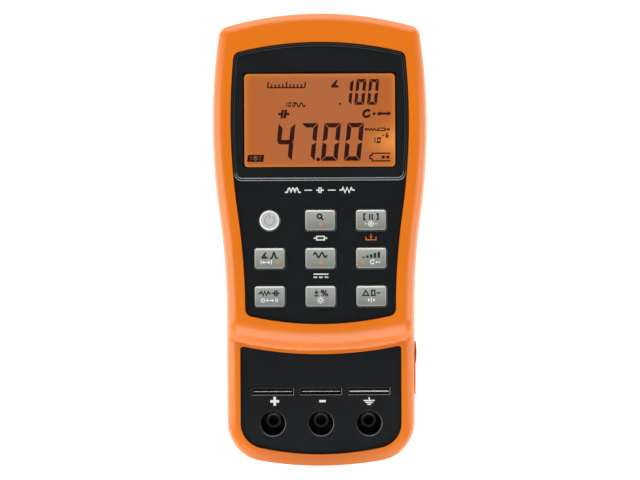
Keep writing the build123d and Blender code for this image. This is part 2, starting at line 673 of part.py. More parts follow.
with BuildPart() as front_case:
    add(front_core.part)
    add(front_hollow.part, mode=Mode.SUBTRACT)
    add(front_bosses.part)
    # wells round the jacks
    with BuildSketch(Plane.XY.offset(JACK_TOP_Z + WELL_GAP)):
        with Locations(*JACK_SPOTS):
            Circle(WELL_R + WELL_WALL)
    extrude(amount=DECK_INNER_Z - JACK_TOP_Z - WELL_GAP)
    # raised rim round the window's bed, then the bed and the display's aperture
    add(lens_block(-FIT - LENS_RIM_W, PANEL_INNER_Z, PANEL_Z + LENS_RIM_H))
    add(lens_block(-FIT, LENS_BED_Z, DEPTH), mode=Mode.SUBTRACT)
    with BuildSketch(Plane.XY.offset(DEPTH)):
        with Locations((0, LCD_Y)):
            RectangleRounded(LCD_VIEW_W, LCD_VIEW_H, LCD_VIEW_R)
    extrude(amount=LCD_TOP_Z - DEPTH, mode=Mode.SUBTRACT)
    # openings for the keys
    with BuildSketch(Plane.XY.offset(PANEL_Z)):
        with Locations(*KEY_SPOTS):
            RectangleRounded(KEY_W + 2 * KEY_GAP, KEY_H + 2 * KEY_GAP, KEY_CORNER_R + KEY_GAP)
        with Locations(POWER_SPOT):
            Circle(POWER_KEY_R + KEY_GAP)
    extrude(amount=LCD_TOP_Z - PANEL_Z, mode=Mode.SUBTRACT)
    keypad_edges = front_case.edges().filter_by(
        lambda edge: abs(edge.center().Z - PANEL_Z) < FIT
        and abs(edge.center().X) < KEY_PITCH_X + KEY_W / 2 + 2 * KEY_GAP
        and abs(edge.center().Y - KEYPAD_Y) < (KEY_BLOCK_L + KEY_H) / 2 + 2 * KEY_GAP
    )
    chamfer(keypad_edges, OPENING_CHAMFER)
    # jack wells and the slots for component leads
    with BuildSketch(Plane.XY.offset(DECK_PANEL_Z)):
        with Locations(*JACK_SPOTS):
            Circle(WELL_R)
        with Locations(*SLOT_SPOTS):
            Rectangle(SLOT_W, SLOT_H)
    extrude(amount=PART_Z - DECK_PANEL_Z, mode=Mode.SUBTRACT)
    terminal_edges = front_case.edges().filter_by(
        lambda edge: abs(edge.center().Z - DECK_PANEL_Z) < FIT
        and abs(edge.center().X) < DECK_HALF_W - DECK_BESIDE / 2
        and JACK_Y - WELL_R - FIT < edge.center().Y < SLOT_Y + SLOT_H
    )
    chamfer(terminal_edges, OPENING_CHAMFER)
    # pilot holes
    with BuildSketch(Plane.XY.offset(PART_Z)):
        with Locations(*SCREW_SPOTS):
            Circle(SCREW_R + THREAD_PLAY)
    extrude(amount=SCREW_SEAT_Z + SCREW_L + SPARE - PART_Z, mode=Mode.SUBTRACT)
    with BuildSketch(Plane.XY.offset(DISPLAY_BOARD_TOP_Z)):
        with Locations(*POST_SPOTS):
            Circle(BOARD_SCREW_R + THREAD_PLAY)
    extrude(amount=BOARD_SCREW_L, mode=Mode.SUBTRACT)
    add(inlet_hole.part, mode=Mode.SUBTRACT)
save(front_case, "front_case")

with BuildPart() as display_window:
    add(lens_block(0, LENS_BED_Z + TAPE_T, LENS_TOP_Z))
    chamfer(display_window.faces().sort_by(Axis.Z)[-1].edges(), LENS_PROUD)
save(display_window, "display_window")

with BuildPart() as window_tape:
    add(lens_block(TAPE_INSET, LENS_BED_Z, LENS_BED_Z + TAPE_T))
    add(lens_block(TAPE_INSET + TAPE_W, LENS_BED_Z, LENS_BED_Z + TAPE_T), mode=Mode.SUBTRACT)
save(window_tape, "window_tape")

# ================= display module =================

with BuildPart() as lcd_panel:
    with Locations((0, LCD_Y, LCD_BOTTOM_Z)):
        Box(LCD_W, LCD_H, LCD_T, align=(Align.CENTER, Align.CENTER, Align.MIN))
save(lcd_panel, "lcd_panel")

with BuildPart() as lcd_frame:
    with BuildSketch(Plane.XY.offset(DISPLAY_BOARD_TOP_Z)):
        with Locations((0, LCD_Y)):
            RectangleRounded(LCD_FRAME_W, LCD_FRAME_H, LCD_FRAME_R)
            Rectangle(LCD_W - 2 * LCD_LEDGE, LCD_H - 2 * LCD_LEDGE, mode=Mode.SUBTRACT)
    extrude(amount=LCD_TOP_Z - DISPLAY_BOARD_TOP_Z)
    with BuildSketch(Plane.XY.offset(LCD_BOTTOM_Z)):
        with Locations((0, LCD_Y)):
            Rectangle(LCD_W + 2 * FIT, LCD_H + 2 * FIT)
    extrude(amount=DEPTH, mode=Mode.SUBTRACT)
    with BuildSketch(Plane.XY.offset(DISPLAY_BOARD_TOP_Z)):
        for zebra_y in ZEBRA_YS:
            with Locations((0, zebra_y)):
                Rectangle(ZEBRA_L + 2 * FIT, ZEBRA_W + 2 * FIT)
    extrude(amount=LCD_BOTTOM_Z - DISPLAY_BOARD_TOP_Z, mode=Mode.SUBTRACT)
save(lcd_frame, "lcd_frame")

with BuildPart() as zebra_strips:
    with BuildSketch(Plane.XY.offset(DISPLAY_BOARD_TOP_Z)):
        for zebra_y in ZEBRA_YS:
            with Locations((0, zebra_y)):
                Rectangle(ZEBRA_L, ZEBRA_W)
    extrude(amount=LCD_BOTTOM_Z - DISPLAY_BOARD_TOP_Z)
save(zebra_strips, "zebra_strips")

with BuildPart() as light_guide:
    with Locations((0, LCD_Y, DISPLAY_BOARD_TOP_Z)):
        Box(GUIDE_W, GUIDE_H, GUIDE_T, align=(Align.CENTER, Align.CENTER, Align.MIN))
    for led_y in LED_YS:
        with Locations((-GUIDE_W / 2, led_y, DISPLAY_BOARD_TOP_Z)):
            Box(
                2 * (LED_DEEP + 2 * FIT), LED_W + 2 * FIT, LED_H + FIT,
                align=(Align.CENTER, Align.CENTER, Align.MIN), mode=Mode.SUBTRACT,
            )
save(light_guide, "light_guide")

with BuildPart() as backlight_leds:
    for led_y in LED_YS:
        with Locations((-GUIDE_W / 2 + FIT, led_y, DISPLAY_BOARD_TOP_Z)):
            Box(LED_DEEP, LED_W, LED_H, align=(Align.MIN, Align.CENTER, Align.MIN))
save(backlight_leds, "backlight_leds")

with BuildPart() as display_board:
    add(board_blank(DISPLAY_BOARD_Z, LENGTH, DISPLAY_BOARD_END_Y))
    with BuildSketch(Plane.XY.offset(DISPLAY_BOARD_Z)):
        with Locations(*POST_SPOTS):
            Circle(BOARD_SCREW_R + FIT)
    extrude(amount=BOARD_T, mode=Mode.SUBTRACT)
save(display_board, "display_board")

with BuildPart() as board_screws:
    with BuildSketch(Plane.XY.offset(DISPLAY_BOARD_Z)):
        with Locations(*POST_SPOTS):
            Circle(BOARD_SCREW_HEAD_R)
    extrude(amount=-BOARD_SCREW_HEAD_H)
    with BuildSketch(Plane.XY.offset(DISPLAY_BOARD_Z)):
        with Locations(*POST_SPOTS):
            Circle(BOARD_SCREW_R)
    extrude(amount=BOARD_SCREW_L)
save(board_screws, "board_screws")

# ================= keys =================

with BuildPart() as keypad_mat:
    with BuildSketch(Plane.XY.offset(DISPLAY_BOARD_TOP_Z)):
        with Locations((0, KEYPAD_Y)):
            RectangleRounded(MAT_W, MAT_H, MAT_CORNER_R)
        with Locations(*KEY_SPOTS):
            Rectangle(
                KEY_W + 2 * (WEB_FLARE - WEB_T), KEY_H + 2 * (WEB_FLARE - WEB_T),
                mode=Mode.SUBTRACT,
            )
        with Locations(POWER_SPOT):
            Circle(POWER_KEY_R + WEB_FLARE - WEB_T, mode=Mode.SUBTRACT)
    extrude(amount=MAT_T)
save(keypad_mat, "keypad_mat")

WEB_TAPER = math.degrees(math.atan(WEB_FLARE / WEB_H))


def make_key(spot, top_face, lip_face, pill_face):
    """A key: its body with a bevelled top, the lip under the panel, and the contact pill
    that reaches down inside its web."""
    with BuildPart() as key:
        with BuildSketch(Plane.XY.offset(WEB_TOP_Z)):
            with Locations(spot):
                add(top_face)
        extrude(amount=KEY_TOP_Z - WEB_TOP_Z)
        chamfer(key.faces().sort_by(Axis.Z)[-1].edges(), KEY_BEVEL_SIDE, KEY_BEVEL)
        with BuildSketch(Plane.XY.offset(KEY_LIP_TOP_Z)):
            with Locations(spot):
                add(lip_face)
        extrude(amount=-KEY_LIP_T)
        with BuildSketch(Plane.XY.offset(PILL_BOTTOM_Z)):
            with Locations(spot):
                add(pill_face)
        extrude(amount=WEB_TOP_Z - PILL_BOTTOM_Z)
    return key


def make_web(spot, top_face, hollow_face):
    """The thin sloping collar of silicone that joins a key to the mat and springs it."""
    with BuildPart() as web:
        with BuildSketch(Plane.XY.offset(WEB_TOP_Z)):
            with Locations(spot):
                add(top_face)
        extrude(amount=-WEB_H, taper=-WEB_TAPER)
        with BuildSketch(Plane.XY.offset(WEB_TOP_Z)):
            with Locations(spot):
                add(hollow_face)
        extrude(amount=-WEB_H, taper=-WEB_TAPER, mode=Mode.SUBTRACT)
    return web


def key_face(grow):
    """A key's face, grown or shrunk all round."""
    with BuildSketch() as face:
        RectangleRounded(
            KEY_W + 2 * grow, KEY_H + 2 * grow, max(KEY_CORNER_R + grow, KEY_INNER_R)
        )
    return face.sketch


def power_face(grow):
    """The power key's round face, grown or shrunk."""
    with BuildSketch() as face:
        Circle(POWER_KEY_R + grow)
    return face.sketch


faces = (power_face(0), power_face(KEY_LIP), power_face(-PILL_IN))
save(make_key(POWER_SPOT, *faces), "key_power")
save(make_web(POWER_SPOT, power_face(0), power_face(-WEB_T)), "web_power")
faces = (key_face(0), key_face(KEY_LIP), key_face(-PILL_IN))
for spot, name in zip(KEY_SPOTS, KEY_NAMES):
    save(make_key(spot, *faces), name)
    save(make_web(spot, key_face(0), key_face(-WEB_T)), name.replace("key", "web"))

# ================= main board and what it carries =================

with BuildPart() as main_board:
    add(board_blank(MAIN_BOARD_Z, MAIN_BOARD_END_Y, -LENGTH))
    with BuildSketch(Plane.XY.offset(MAIN_BOARD_Z)):
        with Locations(*JACK_SPOTS):
            Circle(JACK_R + JACK_PLAY)
    extrude(amount=BOARD_T, mode=Mode.SUBTRACT)
save(main_board, "main_board")

with BuildPart() as board_headers:
    for header_y in HEADER_YS:
        with Locations((0, header_y, MAIN_BOARD_TOP_Z)):
            Box(
                HEADER_L, HEADER_W, DISPLAY_BOARD_Z - MAIN_BOARD_TOP_Z,
                align=(Align.CENTER, Align.CENTER, Align.MIN),
            )
save(board_headers, "board_headers")

with BuildPart() as main_chips:
    for chip_x, chip_y in CHIP_SPOTS:
        with Locations((chip_x, chip_y, MAIN_BOARD_TOP_Z)):
            Box(CHIP_SIZE, CHIP_SIZE, CHIP_T, align=(Align.CENTER, Align.CENTER, Align.MIN))
save(main_chips, "main_chips")

with BuildPart() as relays:
    for relay_x, relay_y in RELAY_SPOTS:
        with Locations((relay_x, relay_y, MAIN_BOARD_TOP_Z)):
            Box(RELAY_L, RELAY_W, RELAY_H, align=(Align.CENTER, Align.CENTER, Align.MIN))
    chamfer(relays.edges().filter_by(Axis.X).group_by(Axis.Z)[-1], RELAY_CHAMFER)
save(relays, "relays")

with BuildPart() as capacitors:
    with BuildSketch(Plane.XY.offset(MAIN_BOARD_Z)):
        with Locations(*CAPACITOR_SPOTS):
            Circle(CAPACITOR_R)
    extrude(amount=-CAPACITOR_H)
save(capacitors, "capacitors")

with BuildPart() as crystal:
    with BuildSketch(Plane.XY.offset(MAIN_BOARD_TOP_Z)):
        with Locations((CRYSTAL_X, BUZZER_Y)):
            SlotOverall(CRYSTAL_L, CRYSTAL_W)
    extrude(amount=CRYSTAL_H)
save(crystal, "crystal")

with BuildPart() as buzzer:
    with BuildSketch(Plane.XY.offset(MAIN_BOARD_TOP_Z)):
        with Locations((BUZZER_X, BUZZER_Y)):
            Circle(BUZZER_R)
    extrude(amount=BUZZER_H)
    with BuildSketch(Plane.XY.offset(MAIN_BOARD_TOP_Z + BUZZER_H)):
        with Locations((BUZZER_X, BUZZER_Y)):
            Circle(BUZZER_PORT_R)
    extrude(amount=-BUZZER_PORT_DEEP, mode=Mode.SUBTRACT)
save(buzzer, "buzzer")

with BuildPart() as shield_can:
    with Locations((0, SHIELD_Y, MAIN_BOARD_Z)):
        Box(SHIELD_L, SHIELD_W, SHIELD_H, align=(Align.CENTER, Align.CENTER, Align.MAX))
        Box(
            SHIELD_L - 2 * SHIELD_T, SHIELD_W - 2 * SHIELD_T, SHIELD_H - SHIELD_T,
            align=(Align.CENTER, Align.CENTER, Align.MAX), mode=Mode.SUBTRACT,
        )
save(shield_can, "shield_can")

# A jack: a sprung sleeve whose collar sits on the board, with its bore closed below.
for jack_x, name in zip(JACK_XS, ("jack_plus", "jack_minus", "jack_guard")):
    with BuildPart() as jack:
        with BuildSketch(Plane.XY.offset(JACK_TOP_Z)):
            with Locations((jack_x, JACK_Y)):
                Circle(JACK_R)
        extrude(amount=-JACK_BORE_L - JACK_FLOOR_T)
        with BuildSketch(Plane.XY.offset(MAIN_BOARD_TOP_Z)):
            with Locations((jack_x, JACK_Y)):
                Circle(JACK_COLLAR_R)
        extrude(amount=JACK_COLLAR_T)
        with Locations((jack_x, JACK_Y, JACK_TOP_Z)):
            Hole(JACK_BORE_R, depth=JACK_BORE_L)
    save(jack, name)

# A lead contact: one bent strip, two leaves that pinch a lead and flare out at the slot.
for contact_x, name in zip(JACK_XS, ("contact_plus", "contact_minus", "contact_guard")):
    with BuildPart() as contact:
        with BuildSketch(Plane.YZ.offset(contact_x - CONTACT_W / 2)) as strip:
            with BuildLine():
                Polyline(
                    (SLOT_Y - CONTACT_TIP, DECK_PANEL_Z - CONTACT_TIP_DROP),
                    (SLOT_Y - CONTACT_PINCH, DECK_PANEL_Z - CONTACT_PINCH_DROP),
                    (SLOT_Y - CONTACT_BASE, MAIN_BOARD_TOP_Z + CONTACT_T + CONTACT_BASE),
                    (SLOT_Y - CONTACT_BASE, MAIN_BOARD_TOP_Z + CONTACT_T / 2),
                    (SLOT_Y + CONTACT_BASE, MAIN_BOARD_TOP_Z + CONTACT_T / 2),
                    (SLOT_Y + CONTACT_BASE, MAIN_BOARD_TOP_Z + CONTACT_T + CONTACT_BASE),
                    (SLOT_Y + CONTACT_PINCH, DECK_PANEL_Z - CONTACT_PINCH_DROP),
                    (SLOT_Y + CONTACT_TIP, DECK_PANEL_Z - CONTACT_TIP_DROP),
                )
            trace(line_width=CONTACT_T)
        extrude(amount=CONTACT_W)
    save(contact, name)

# The inlet hangs under the main board and its nose reaches out through the right side.
INLET_FACE_X = (
    HALF_WAIST - SKIN - WALL - BOARD_GAP - narrowing(SIDE_DRAFT, MAIN_BOARD_Z - INLET_BODY_H)
)

with BuildPart() as dc_inlet:
    with Locations((INLET_FACE_X, INLET_Y, MAIN_BOARD_Z)):
        Box(
            INLET_BODY_L, INLET_BODY_W, INLET_BODY_H,
            align=(Align.MAX, Align.CENTER, Align.MAX),
        )
    with BuildSketch(Plane.YZ.offset(INLET_FACE_X)):
        with Locations((INLET_Y, INLET_Z)):
            Circle(INLET_NOSE_R)
    extrude(amount=INLET_NOSE_L)
    with BuildSketch(Plane.YZ.offset(INLET_FACE_X + INLET_NOSE_L)):
        with Locations((INLET_Y, INLET_Z)):
            Circle(INLET_BORE_R)
    extrude(amount=-INLET_BORE_L, mode=Mode.SUBTRACT)
save(dc_inlet, "dc_inlet")

with BuildPart() as dc_inlet_pin:
    with BuildSketch(Plane.YZ.offset(INLET_FACE_X + INLET_NOSE_L - INLET_BORE_L)):
        with Locations((INLET_Y, INLET_Z)):
            Circle(INLET_PIN_R)
    extrude(amount=INLET_BORE_L - INLET_PIN_SHORT)
    chamfer(dc_inlet_pin.faces().sort_by(Axis.X)[-1].edges(), INLET_PIN_CHAMFER)
save(dc_inlet_pin, "dc_inlet_pin")

# ================= back half =================

with BuildPart() as rear_form:
    add(case_block(0, BACK_Z, PART_Z))
    fillet(outer_edges(rear_form, 0, BACK_Z + FIT), BACK_EDGE_R)
    chamfer(outer_edges(rear_form, PART_Z - FIT, PART_Z + FIT), PART_CHAMFER)
    add(inlet_pad(BACK_Z, PART_Z))

with BuildPart() as rear_core:
    add(case_block(SKIN, BACK_Z + SKIN, PART_Z))
    fillet(outer_edges(rear_core, 0, BACK_Z + SKIN + FIT), BACK_EDGE_R - SKIN)
    add(case_block(BACK_FRAME_W, BACK_Z, PART_Z))

with BuildPart() as rear_overmould:
    add(rear_form.part)
    add(rear_core.part, mode=Mode.SUBTRACT)
    add(inlet_hole.part, mode=Mode.SUBTRACT)
save(rear_overmould, "rear_overmould")


def stand_face(grow):
    """The folded stand seen from the back, or its pocket when grown: a frame of two legs,
    a foot bar and a bridge, rounded at the foot."""
    length = STAND_PIVOT_Y - STAND_END_Y
    middle = (STAND_PIVOT_Y + STAND_END_Y) / 2
    window_end = STAND_END_Y + STAND_FOOT_L
    window_top = STAND_PIVOT_Y - STAND_BRIDGE_L
    with BuildSketch() as face:
        with Locations((0, middle)):
            Rectangle(STAND_W + 2 * grow, length + 2 * grow)
        fillet(face.vertices().group_by(Axis.Y)[0], STAND_CORNER_R + grow)
        with Locations((0, (window_end + window_top) / 2)):
            RectangleRounded(
                STAND_W - 2 * STAND_LEG_W - 2 * grow, window_top - window_end - 2 * grow,
                STAND_CORNER_R - grow, mode=Mode.SUBTRACT,
            )
    return face.sketch


def cover_face(grow):
    """The battery cover seen from the back."""
    with BuildSketch() as face:
        with Locations((0, COVER_Y)):
            RectangleRounded(COVER_W + 2 * grow, COVER_L + 2 * grow, COVER_CORNER_R + grow)
    return face.sketch


# What stands on the back's floor, no wider than the case itself: the floor is raised over the
# stand's pocket and under the battery cover's seat.
with BuildPart() as rear_fittings:
    with BuildSketch(Plane.XY.offset(BACK_Z)):
        with Locations((0, (POCKET_END_Y + STAND_END_Y - NOTCH_L) / 2)):
            Rectangle(
                STAND_W + 2 * (RUN + STAND_PIN_L + POCKET_WALL),
                POCKET_END_Y - STAND_END_Y + NOTCH_L + 2 * POCKET_WALL,
            )
        with Locations((0, (POCKET_END_Y + STAND_END_Y) / 2)):
            Rectangle(
                STAND_W - 2 * STAND_LEG_W - 2 * POCKET_WALL - 2 * RUN,
                POCKET_END_Y - STAND_END_Y - 2 * STAND_BRIDGE_L - 2 * POCKET_WALL,
                mode=Mode.SUBTRACT,
            )
    extrude(amount=POCKET_Z + POCKET_WALL - BACK_Z)
    with BuildSketch(Plane.XY.offset(BACK_Z)):
        add(cover_face(RUN + COVER_SEAT_W))
    extrude(amount=COVER_T + COVER_SEAT_T)
    # bosses for the case screws and the cover's inserts
    with BuildSketch(Plane.XY.offset(BACK_Z + SKIN)):
        with Locations(*SCREW_SPOTS):
            Circle(BOSS_R)
    extrude(amount=PART_Z - BACK_Z - SKIN)
    with BuildSketch(Plane.XY.offset(COVER_TOP_Z)):
        with Locations(*COVER_SCREW_SPOTS):
            Circle(INSERT_R + BAY_WALL)
    extrude(amount=INSERT_L + 2 * BAY_WALL)
    add(rear_core.part, mode=Mode.INTERSECT)

with BuildPart() as rear_case:
    add(rear_core.part)
    add(case_block(SKIN + WALL, RIM_FLOOR_Z, PART_Z), mode=Mode.SUBTRACT)
    add(case_block(BACK_FRAME_W + WALL, FLOOR_Z, PART_Z), mode=Mode.SUBTRACT)
    add(rear_fittings.part)
    # supports of the main board, and the battery bay, closed above
    with BuildSketch(Plane.XY.offset(FLOOR_Z)):
        with Locations(*SUPPORT_SPOTS):
            Circle(POST_R)
    extrude(amount=MAIN_BOARD_Z - FLOOR_Z)
    with BuildSketch(Plane.XY.offset(BACK_Z)):
        with Locations((0, (BAY_START_Y + BAY_END_Y) / 2)):
            Rectangle(BAY_W + 2 * BAY_WALL, BAY_END_Y - BAY_START_Y + 2 * BAY_WALL)
    extrude(amount=BAY_TOP_Z + BAY_ROOF - BACK_Z)
    with BuildSketch(Plane.XY.offset(BACK_Z)):
        with Locations((0, (BAY_START_Y + BAY_END_Y) / 2)):
            Rectangle(BAY_W, BAY_END_Y - BAY_START_Y)
    extrude(amount=BAY_TOP_Z - BACK_Z, mode=Mode.SUBTRACT)
    # beds of the cover and of the folded stand, and the finger notch
    with BuildSketch(Plane.XY.offset(BACK_Z)):
        add(cover_face(RUN))
    extrude(amount=COVER_T, mode=Mode.SUBTRACT)
    with BuildSketch(Plane.XY.offset(BACK_Z)):
        add(stand_face(RUN))
        with Locations((0, STAND_PIVOT_Y)):
            Rectangle(
                STAND_W + 2 * RUN, POCKET_END_Y - STAND_PIVOT_Y,
                align=(Align.CENTER, Align.MIN),
            )
    extrude(amount=POCKET_Z - BACK_Z, mode=Mode.SUBTRACT)
    with BuildSketch(Plane.XY.offset(BACK_Z)):
        with Locations((0, STAND_END_Y)):
            RectangleRounded(NOTCH_W, 2 * NOTCH_L, NOTCH_R)
    extrude(amount=NOTCH_DEEP, mode=Mode.SUBTRACT)
    # holes for the stand's pins, the inserts, the screws and the feet
    with BuildSketch(Plane.YZ.offset(-STAND_W / 2 - RUN - STAND_PIN_L)):
        with Locations((STAND_PIVOT_Y, STAND_PIVOT_Z)):
            Circle(STAND_PIN_R + STAND_PIN_PLAY)
    extrude(amount=STAND_W + 2 * (RUN + STAND_PIN_L), mode=Mode.SUBTRACT)
    with BuildSketch(Plane.XY.offset(COVER_TOP_Z)):
        with Locations(*COVER_SCREW_SPOTS):
            Circle(INSERT_R + THREAD_PLAY)
    extrude(amount=INSERT_L + BAY_WALL, mode=Mode.SUBTRACT)
    with BuildSketch(Plane.XY.offset(BACK_Z)):
        with Locations(*SCREW_SPOTS):
            Circle(SCREW_HEAD_R + RUN)
    extrude(amount=SCREW_SEAT_Z - BACK_Z, mode=Mode.SUBTRACT)
    with BuildSketch(Plane.XY.offset(SCREW_SEAT_Z)):
        with Locations(*SCREW_SPOTS):
            Circle(SCREW_R + FIT)
    extrude(amount=PART_Z - SCREW_SEAT_Z, mode=Mode.SUBTRACT)
    with BuildSketch(Plane.XY.offset(BACK_Z)):
        with Locations(*FOOT_SPOTS):
            Circle(FOOT_R + THREAD_PLAY)
    extrude(amount=FOOT_BED, mode=Mode.SUBTRACT)
    add(inlet_hole.part, mode=Mode.SUBTRACT)
save(rear_case, "rear_case")

with BuildPart() as case_screws:
    with BuildSketch(Plane.XY.offset(SCREW_SEAT_Z)):
        with Locations(*SCREW_SPOTS):
            Circle(SCREW_HEAD_R)
    extrude(amount=-SCREW_HEAD_H)
    fillet(case_screws.edges().group_by(Axis.Z)[0], SCREW_HEAD_FILLET)
    with BuildSketch(Plane.XY.offset(SCREW_SEAT_Z)):
        with Locations(*SCREW_SPOTS):
            Circle(SCREW_R)
    extrude(amount=SCREW_L)
save(case_screws, "case_screws")

with BuildPart() as rubber_feet:
    with BuildSketch():
        with Locations(*FOOT_SPOTS):
            Circle(FOOT_R)
    extrude(amount=FOOT_H + FOOT_BED)
    chamfer(rubber_feet.edges().group_by(Axis.Z)[0], FOOT_CHAMFER)
save(rubber_feet, "rubber_feet")

# ================= battery and its cover =================

with BuildPart() as battery:
    with Locations((0, BATTERY_Y, BATTERY_MID_Z)):
        Box(BATTERY_W, BATTERY_L, BATTERY_T)
    fillet(battery.edges().filter_by(Axis.Y), BATTERY_CORNER_R)
    with BuildSketch(Plane.XZ.offset(-BATTERY_END_Y)):
        with Locations((0, BATTERY_MID_Z)):
            with GridLocations(TERMINAL_PITCH, 0, 2, 1):
                Circle(TERMINAL_R)
    extrude(amount=-TERMINAL_L)
save(battery, "battery")

with BuildPart() as battery_snap:
    with Locations((0, BATTERY_END_Y + BATTERY_PLAY, BATTERY_MID_Z)):
        Box(SNAP_W, SNAP_T, SNAP_H, align=(Align.CENTER, Align.MIN, Align.CENTER))
    fillet(battery_snap.edges().filter_by(Axis.Y), SNAP_CORNER_R)
    with BuildSketch(Plane.XZ.offset(-BATTERY_END_Y)):
        with Locations((0, BATTERY_MID_Z)):
            with GridLocations(TERMINAL_PITCH, 0, 2, 1):
                Circle(TERMINAL_R + FIT)
    extrude(amount=-TERMINAL_L - FIT, mode=Mode.SUBTRACT)
save(battery_snap, "battery_snap")

with BuildPart() as battery_cover:
    with BuildSketch(Plane.XY.offset(BACK_Z)):
        add(cover_face(0))
    extrude(amount=COVER_T)
    chamfer(battery_cover.edges().group_by(Axis.Z)[0], PART_CHAMFER)
    with BuildSketch(Plane.XY.offset(BACK_Z)):
        with Locations((0, COVER_Y)):
            with GridLocations(0, COVER_GRIP_PITCH, 1, COVER_GRIP_COUNT):
                SlotOverall(COVER_GRIP_L, COVER_GRIP_W)
    extrude(amount=COVER_GRIP_DEEP, mode=Mode.SUBTRACT)
    for screw_y in COVER_SCREW_YS:
        with Locations(Location((0, screw_y, BACK_Z), (180, 0, 0))):
            CounterSinkHole(SCREW_R + FIT, COVER_SCREW_HEAD_R + THREAD_PLAY, depth=COVER_T)
save(battery_cover, "battery_cover")

with BuildPart() as cover_screws:
    for screw_y in COVER_SCREW_YS:
        with Locations((0, screw_y, BACK_Z)):
            Cylinder(SCREW_R, COVER_SCREW_L, align=(Align.CENTER, Align.CENTER, Align.MIN))
            Cone(
                COVER_SCREW_HEAD_R, SCREW_R, COVER_SCREW_HEAD_H,
                align=(Align.CENTER, Align.CENTER, Align.MIN),
            )
save(cover_screws, "cover_screws")

with BuildPart() as cover_inserts:
    with BuildSketch(Plane.XY.offset(COVER_TOP_Z + FIT)):
        with Locations(*COVER_SCREW_SPOTS):
            Circle(INSERT_R)
            Circle(SCREW_R + 2 * THREAD_PLAY, mode=Mode.SUBTRACT)
    extrude(amount=INSERT_L)
save(cover_inserts, "cover_inserts")

with BuildPart() as battery_foam:
    with Locations((0, BATTERY_Y, COVER_TOP_Z)):
        Box(
            BATTERY_W - 2 * FOAM_MARGIN, BATTERY_L - 2 * FOAM_MARGIN, FOAM_T,
            align=(Align.CENTER, Align.CENTER, Align.MIN),
        )
save(battery_foam, "battery_foam")

# ================= tilt stand =================

with BuildPart() as tilt_stand:
    with BuildSketch(Plane.XY.offset(BACK_Z)):
        add(stand_face(0))
    extrude(amount=STAND_T)
    chamfer(tilt_stand.edges().group_by(Axis.Z)[0].filter_by(Axis.Y), PART_CHAMFER)
    with BuildSketch(Plane.YZ.offset(-STAND_W / 2)):
        with Locations((STAND_PIVOT_Y, STAND_PIVOT_Z)):
            Circle(STAND_T / 2)
    extrude(amount=STAND_W)
    with BuildSketch(Plane.YZ.offset(-STAND_W / 2 - STAND_PIN_L)):
        with Locations((STAND_PIVOT_Y, STAND_PIVOT_Z)):
            Circle(STAND_PIN_R)
    extrude(amount=STAND_W + 2 * STAND_PIN_L)
save(tilt_stand, "tilt_stand")
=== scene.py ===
"""Dressed model of a handheld component tester: finishes, display, printed marks and fasteners.

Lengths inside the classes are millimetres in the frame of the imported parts, with +Z out of the front
face and +Y towards the display end. Meshes are handed to Blender in metres.
"""
import json
import logging
import math
from collections.abc import Callable, Iterable, Sequence
from dataclasses import dataclass, field, replace
from enum import Enum

import bmesh
import bpy
import numpy as np
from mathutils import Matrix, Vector

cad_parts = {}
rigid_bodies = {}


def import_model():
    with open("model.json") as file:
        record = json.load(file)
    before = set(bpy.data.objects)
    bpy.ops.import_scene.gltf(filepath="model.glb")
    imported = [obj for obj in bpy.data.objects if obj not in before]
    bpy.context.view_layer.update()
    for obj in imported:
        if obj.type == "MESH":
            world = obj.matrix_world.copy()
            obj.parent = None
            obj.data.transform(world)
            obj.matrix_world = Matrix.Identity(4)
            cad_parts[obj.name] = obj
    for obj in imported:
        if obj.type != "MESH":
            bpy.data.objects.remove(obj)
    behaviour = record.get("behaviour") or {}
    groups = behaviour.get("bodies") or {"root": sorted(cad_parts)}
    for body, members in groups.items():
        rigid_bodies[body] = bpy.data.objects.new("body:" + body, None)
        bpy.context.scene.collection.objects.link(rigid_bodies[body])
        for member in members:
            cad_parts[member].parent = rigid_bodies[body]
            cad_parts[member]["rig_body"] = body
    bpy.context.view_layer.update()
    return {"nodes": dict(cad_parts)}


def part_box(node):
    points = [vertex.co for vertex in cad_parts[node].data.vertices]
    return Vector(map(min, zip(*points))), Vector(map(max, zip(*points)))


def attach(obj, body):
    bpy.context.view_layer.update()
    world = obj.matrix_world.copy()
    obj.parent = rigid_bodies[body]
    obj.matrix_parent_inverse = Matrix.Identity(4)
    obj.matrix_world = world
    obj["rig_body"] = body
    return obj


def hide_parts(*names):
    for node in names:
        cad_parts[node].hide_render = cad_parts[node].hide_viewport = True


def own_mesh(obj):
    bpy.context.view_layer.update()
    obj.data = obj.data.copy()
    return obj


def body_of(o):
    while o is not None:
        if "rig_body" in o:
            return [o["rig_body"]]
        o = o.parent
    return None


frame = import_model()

LOG = logging.getLogger("component_tester")
MM = 0.001
CASE_BODY = "case"
KEYS = ("power", "identify", "hold", "quality", "frequency", "range", "function", "tolerance", "null")
TERMINALS = ("plus", "minus", "guard")
Point = tuple[float, float]
Tree = bpy.types.NodeTree
Socket = bpy.types.NodeSocket


# ---------------------------------------------------------------- shader building


def linear(hex_code: str) -> tuple[float, float, float, float]:
    """Turn an sRGB hex colour into linear light.

    Args:
        hex_code: six hex digits, red first.

    Returns:
        Linear red, green and blue, and an alpha of 1.
    """
    channels = [int(hex_code[i:i + 2], 16) / 255 for i in (0, 2, 4)]
    red, green, blue = (c / 12.92 if c <= 0.04045 else ((c + 0.055) / 1.055) ** 2.4 for c in channels)
    return red, green, blue, 1.0


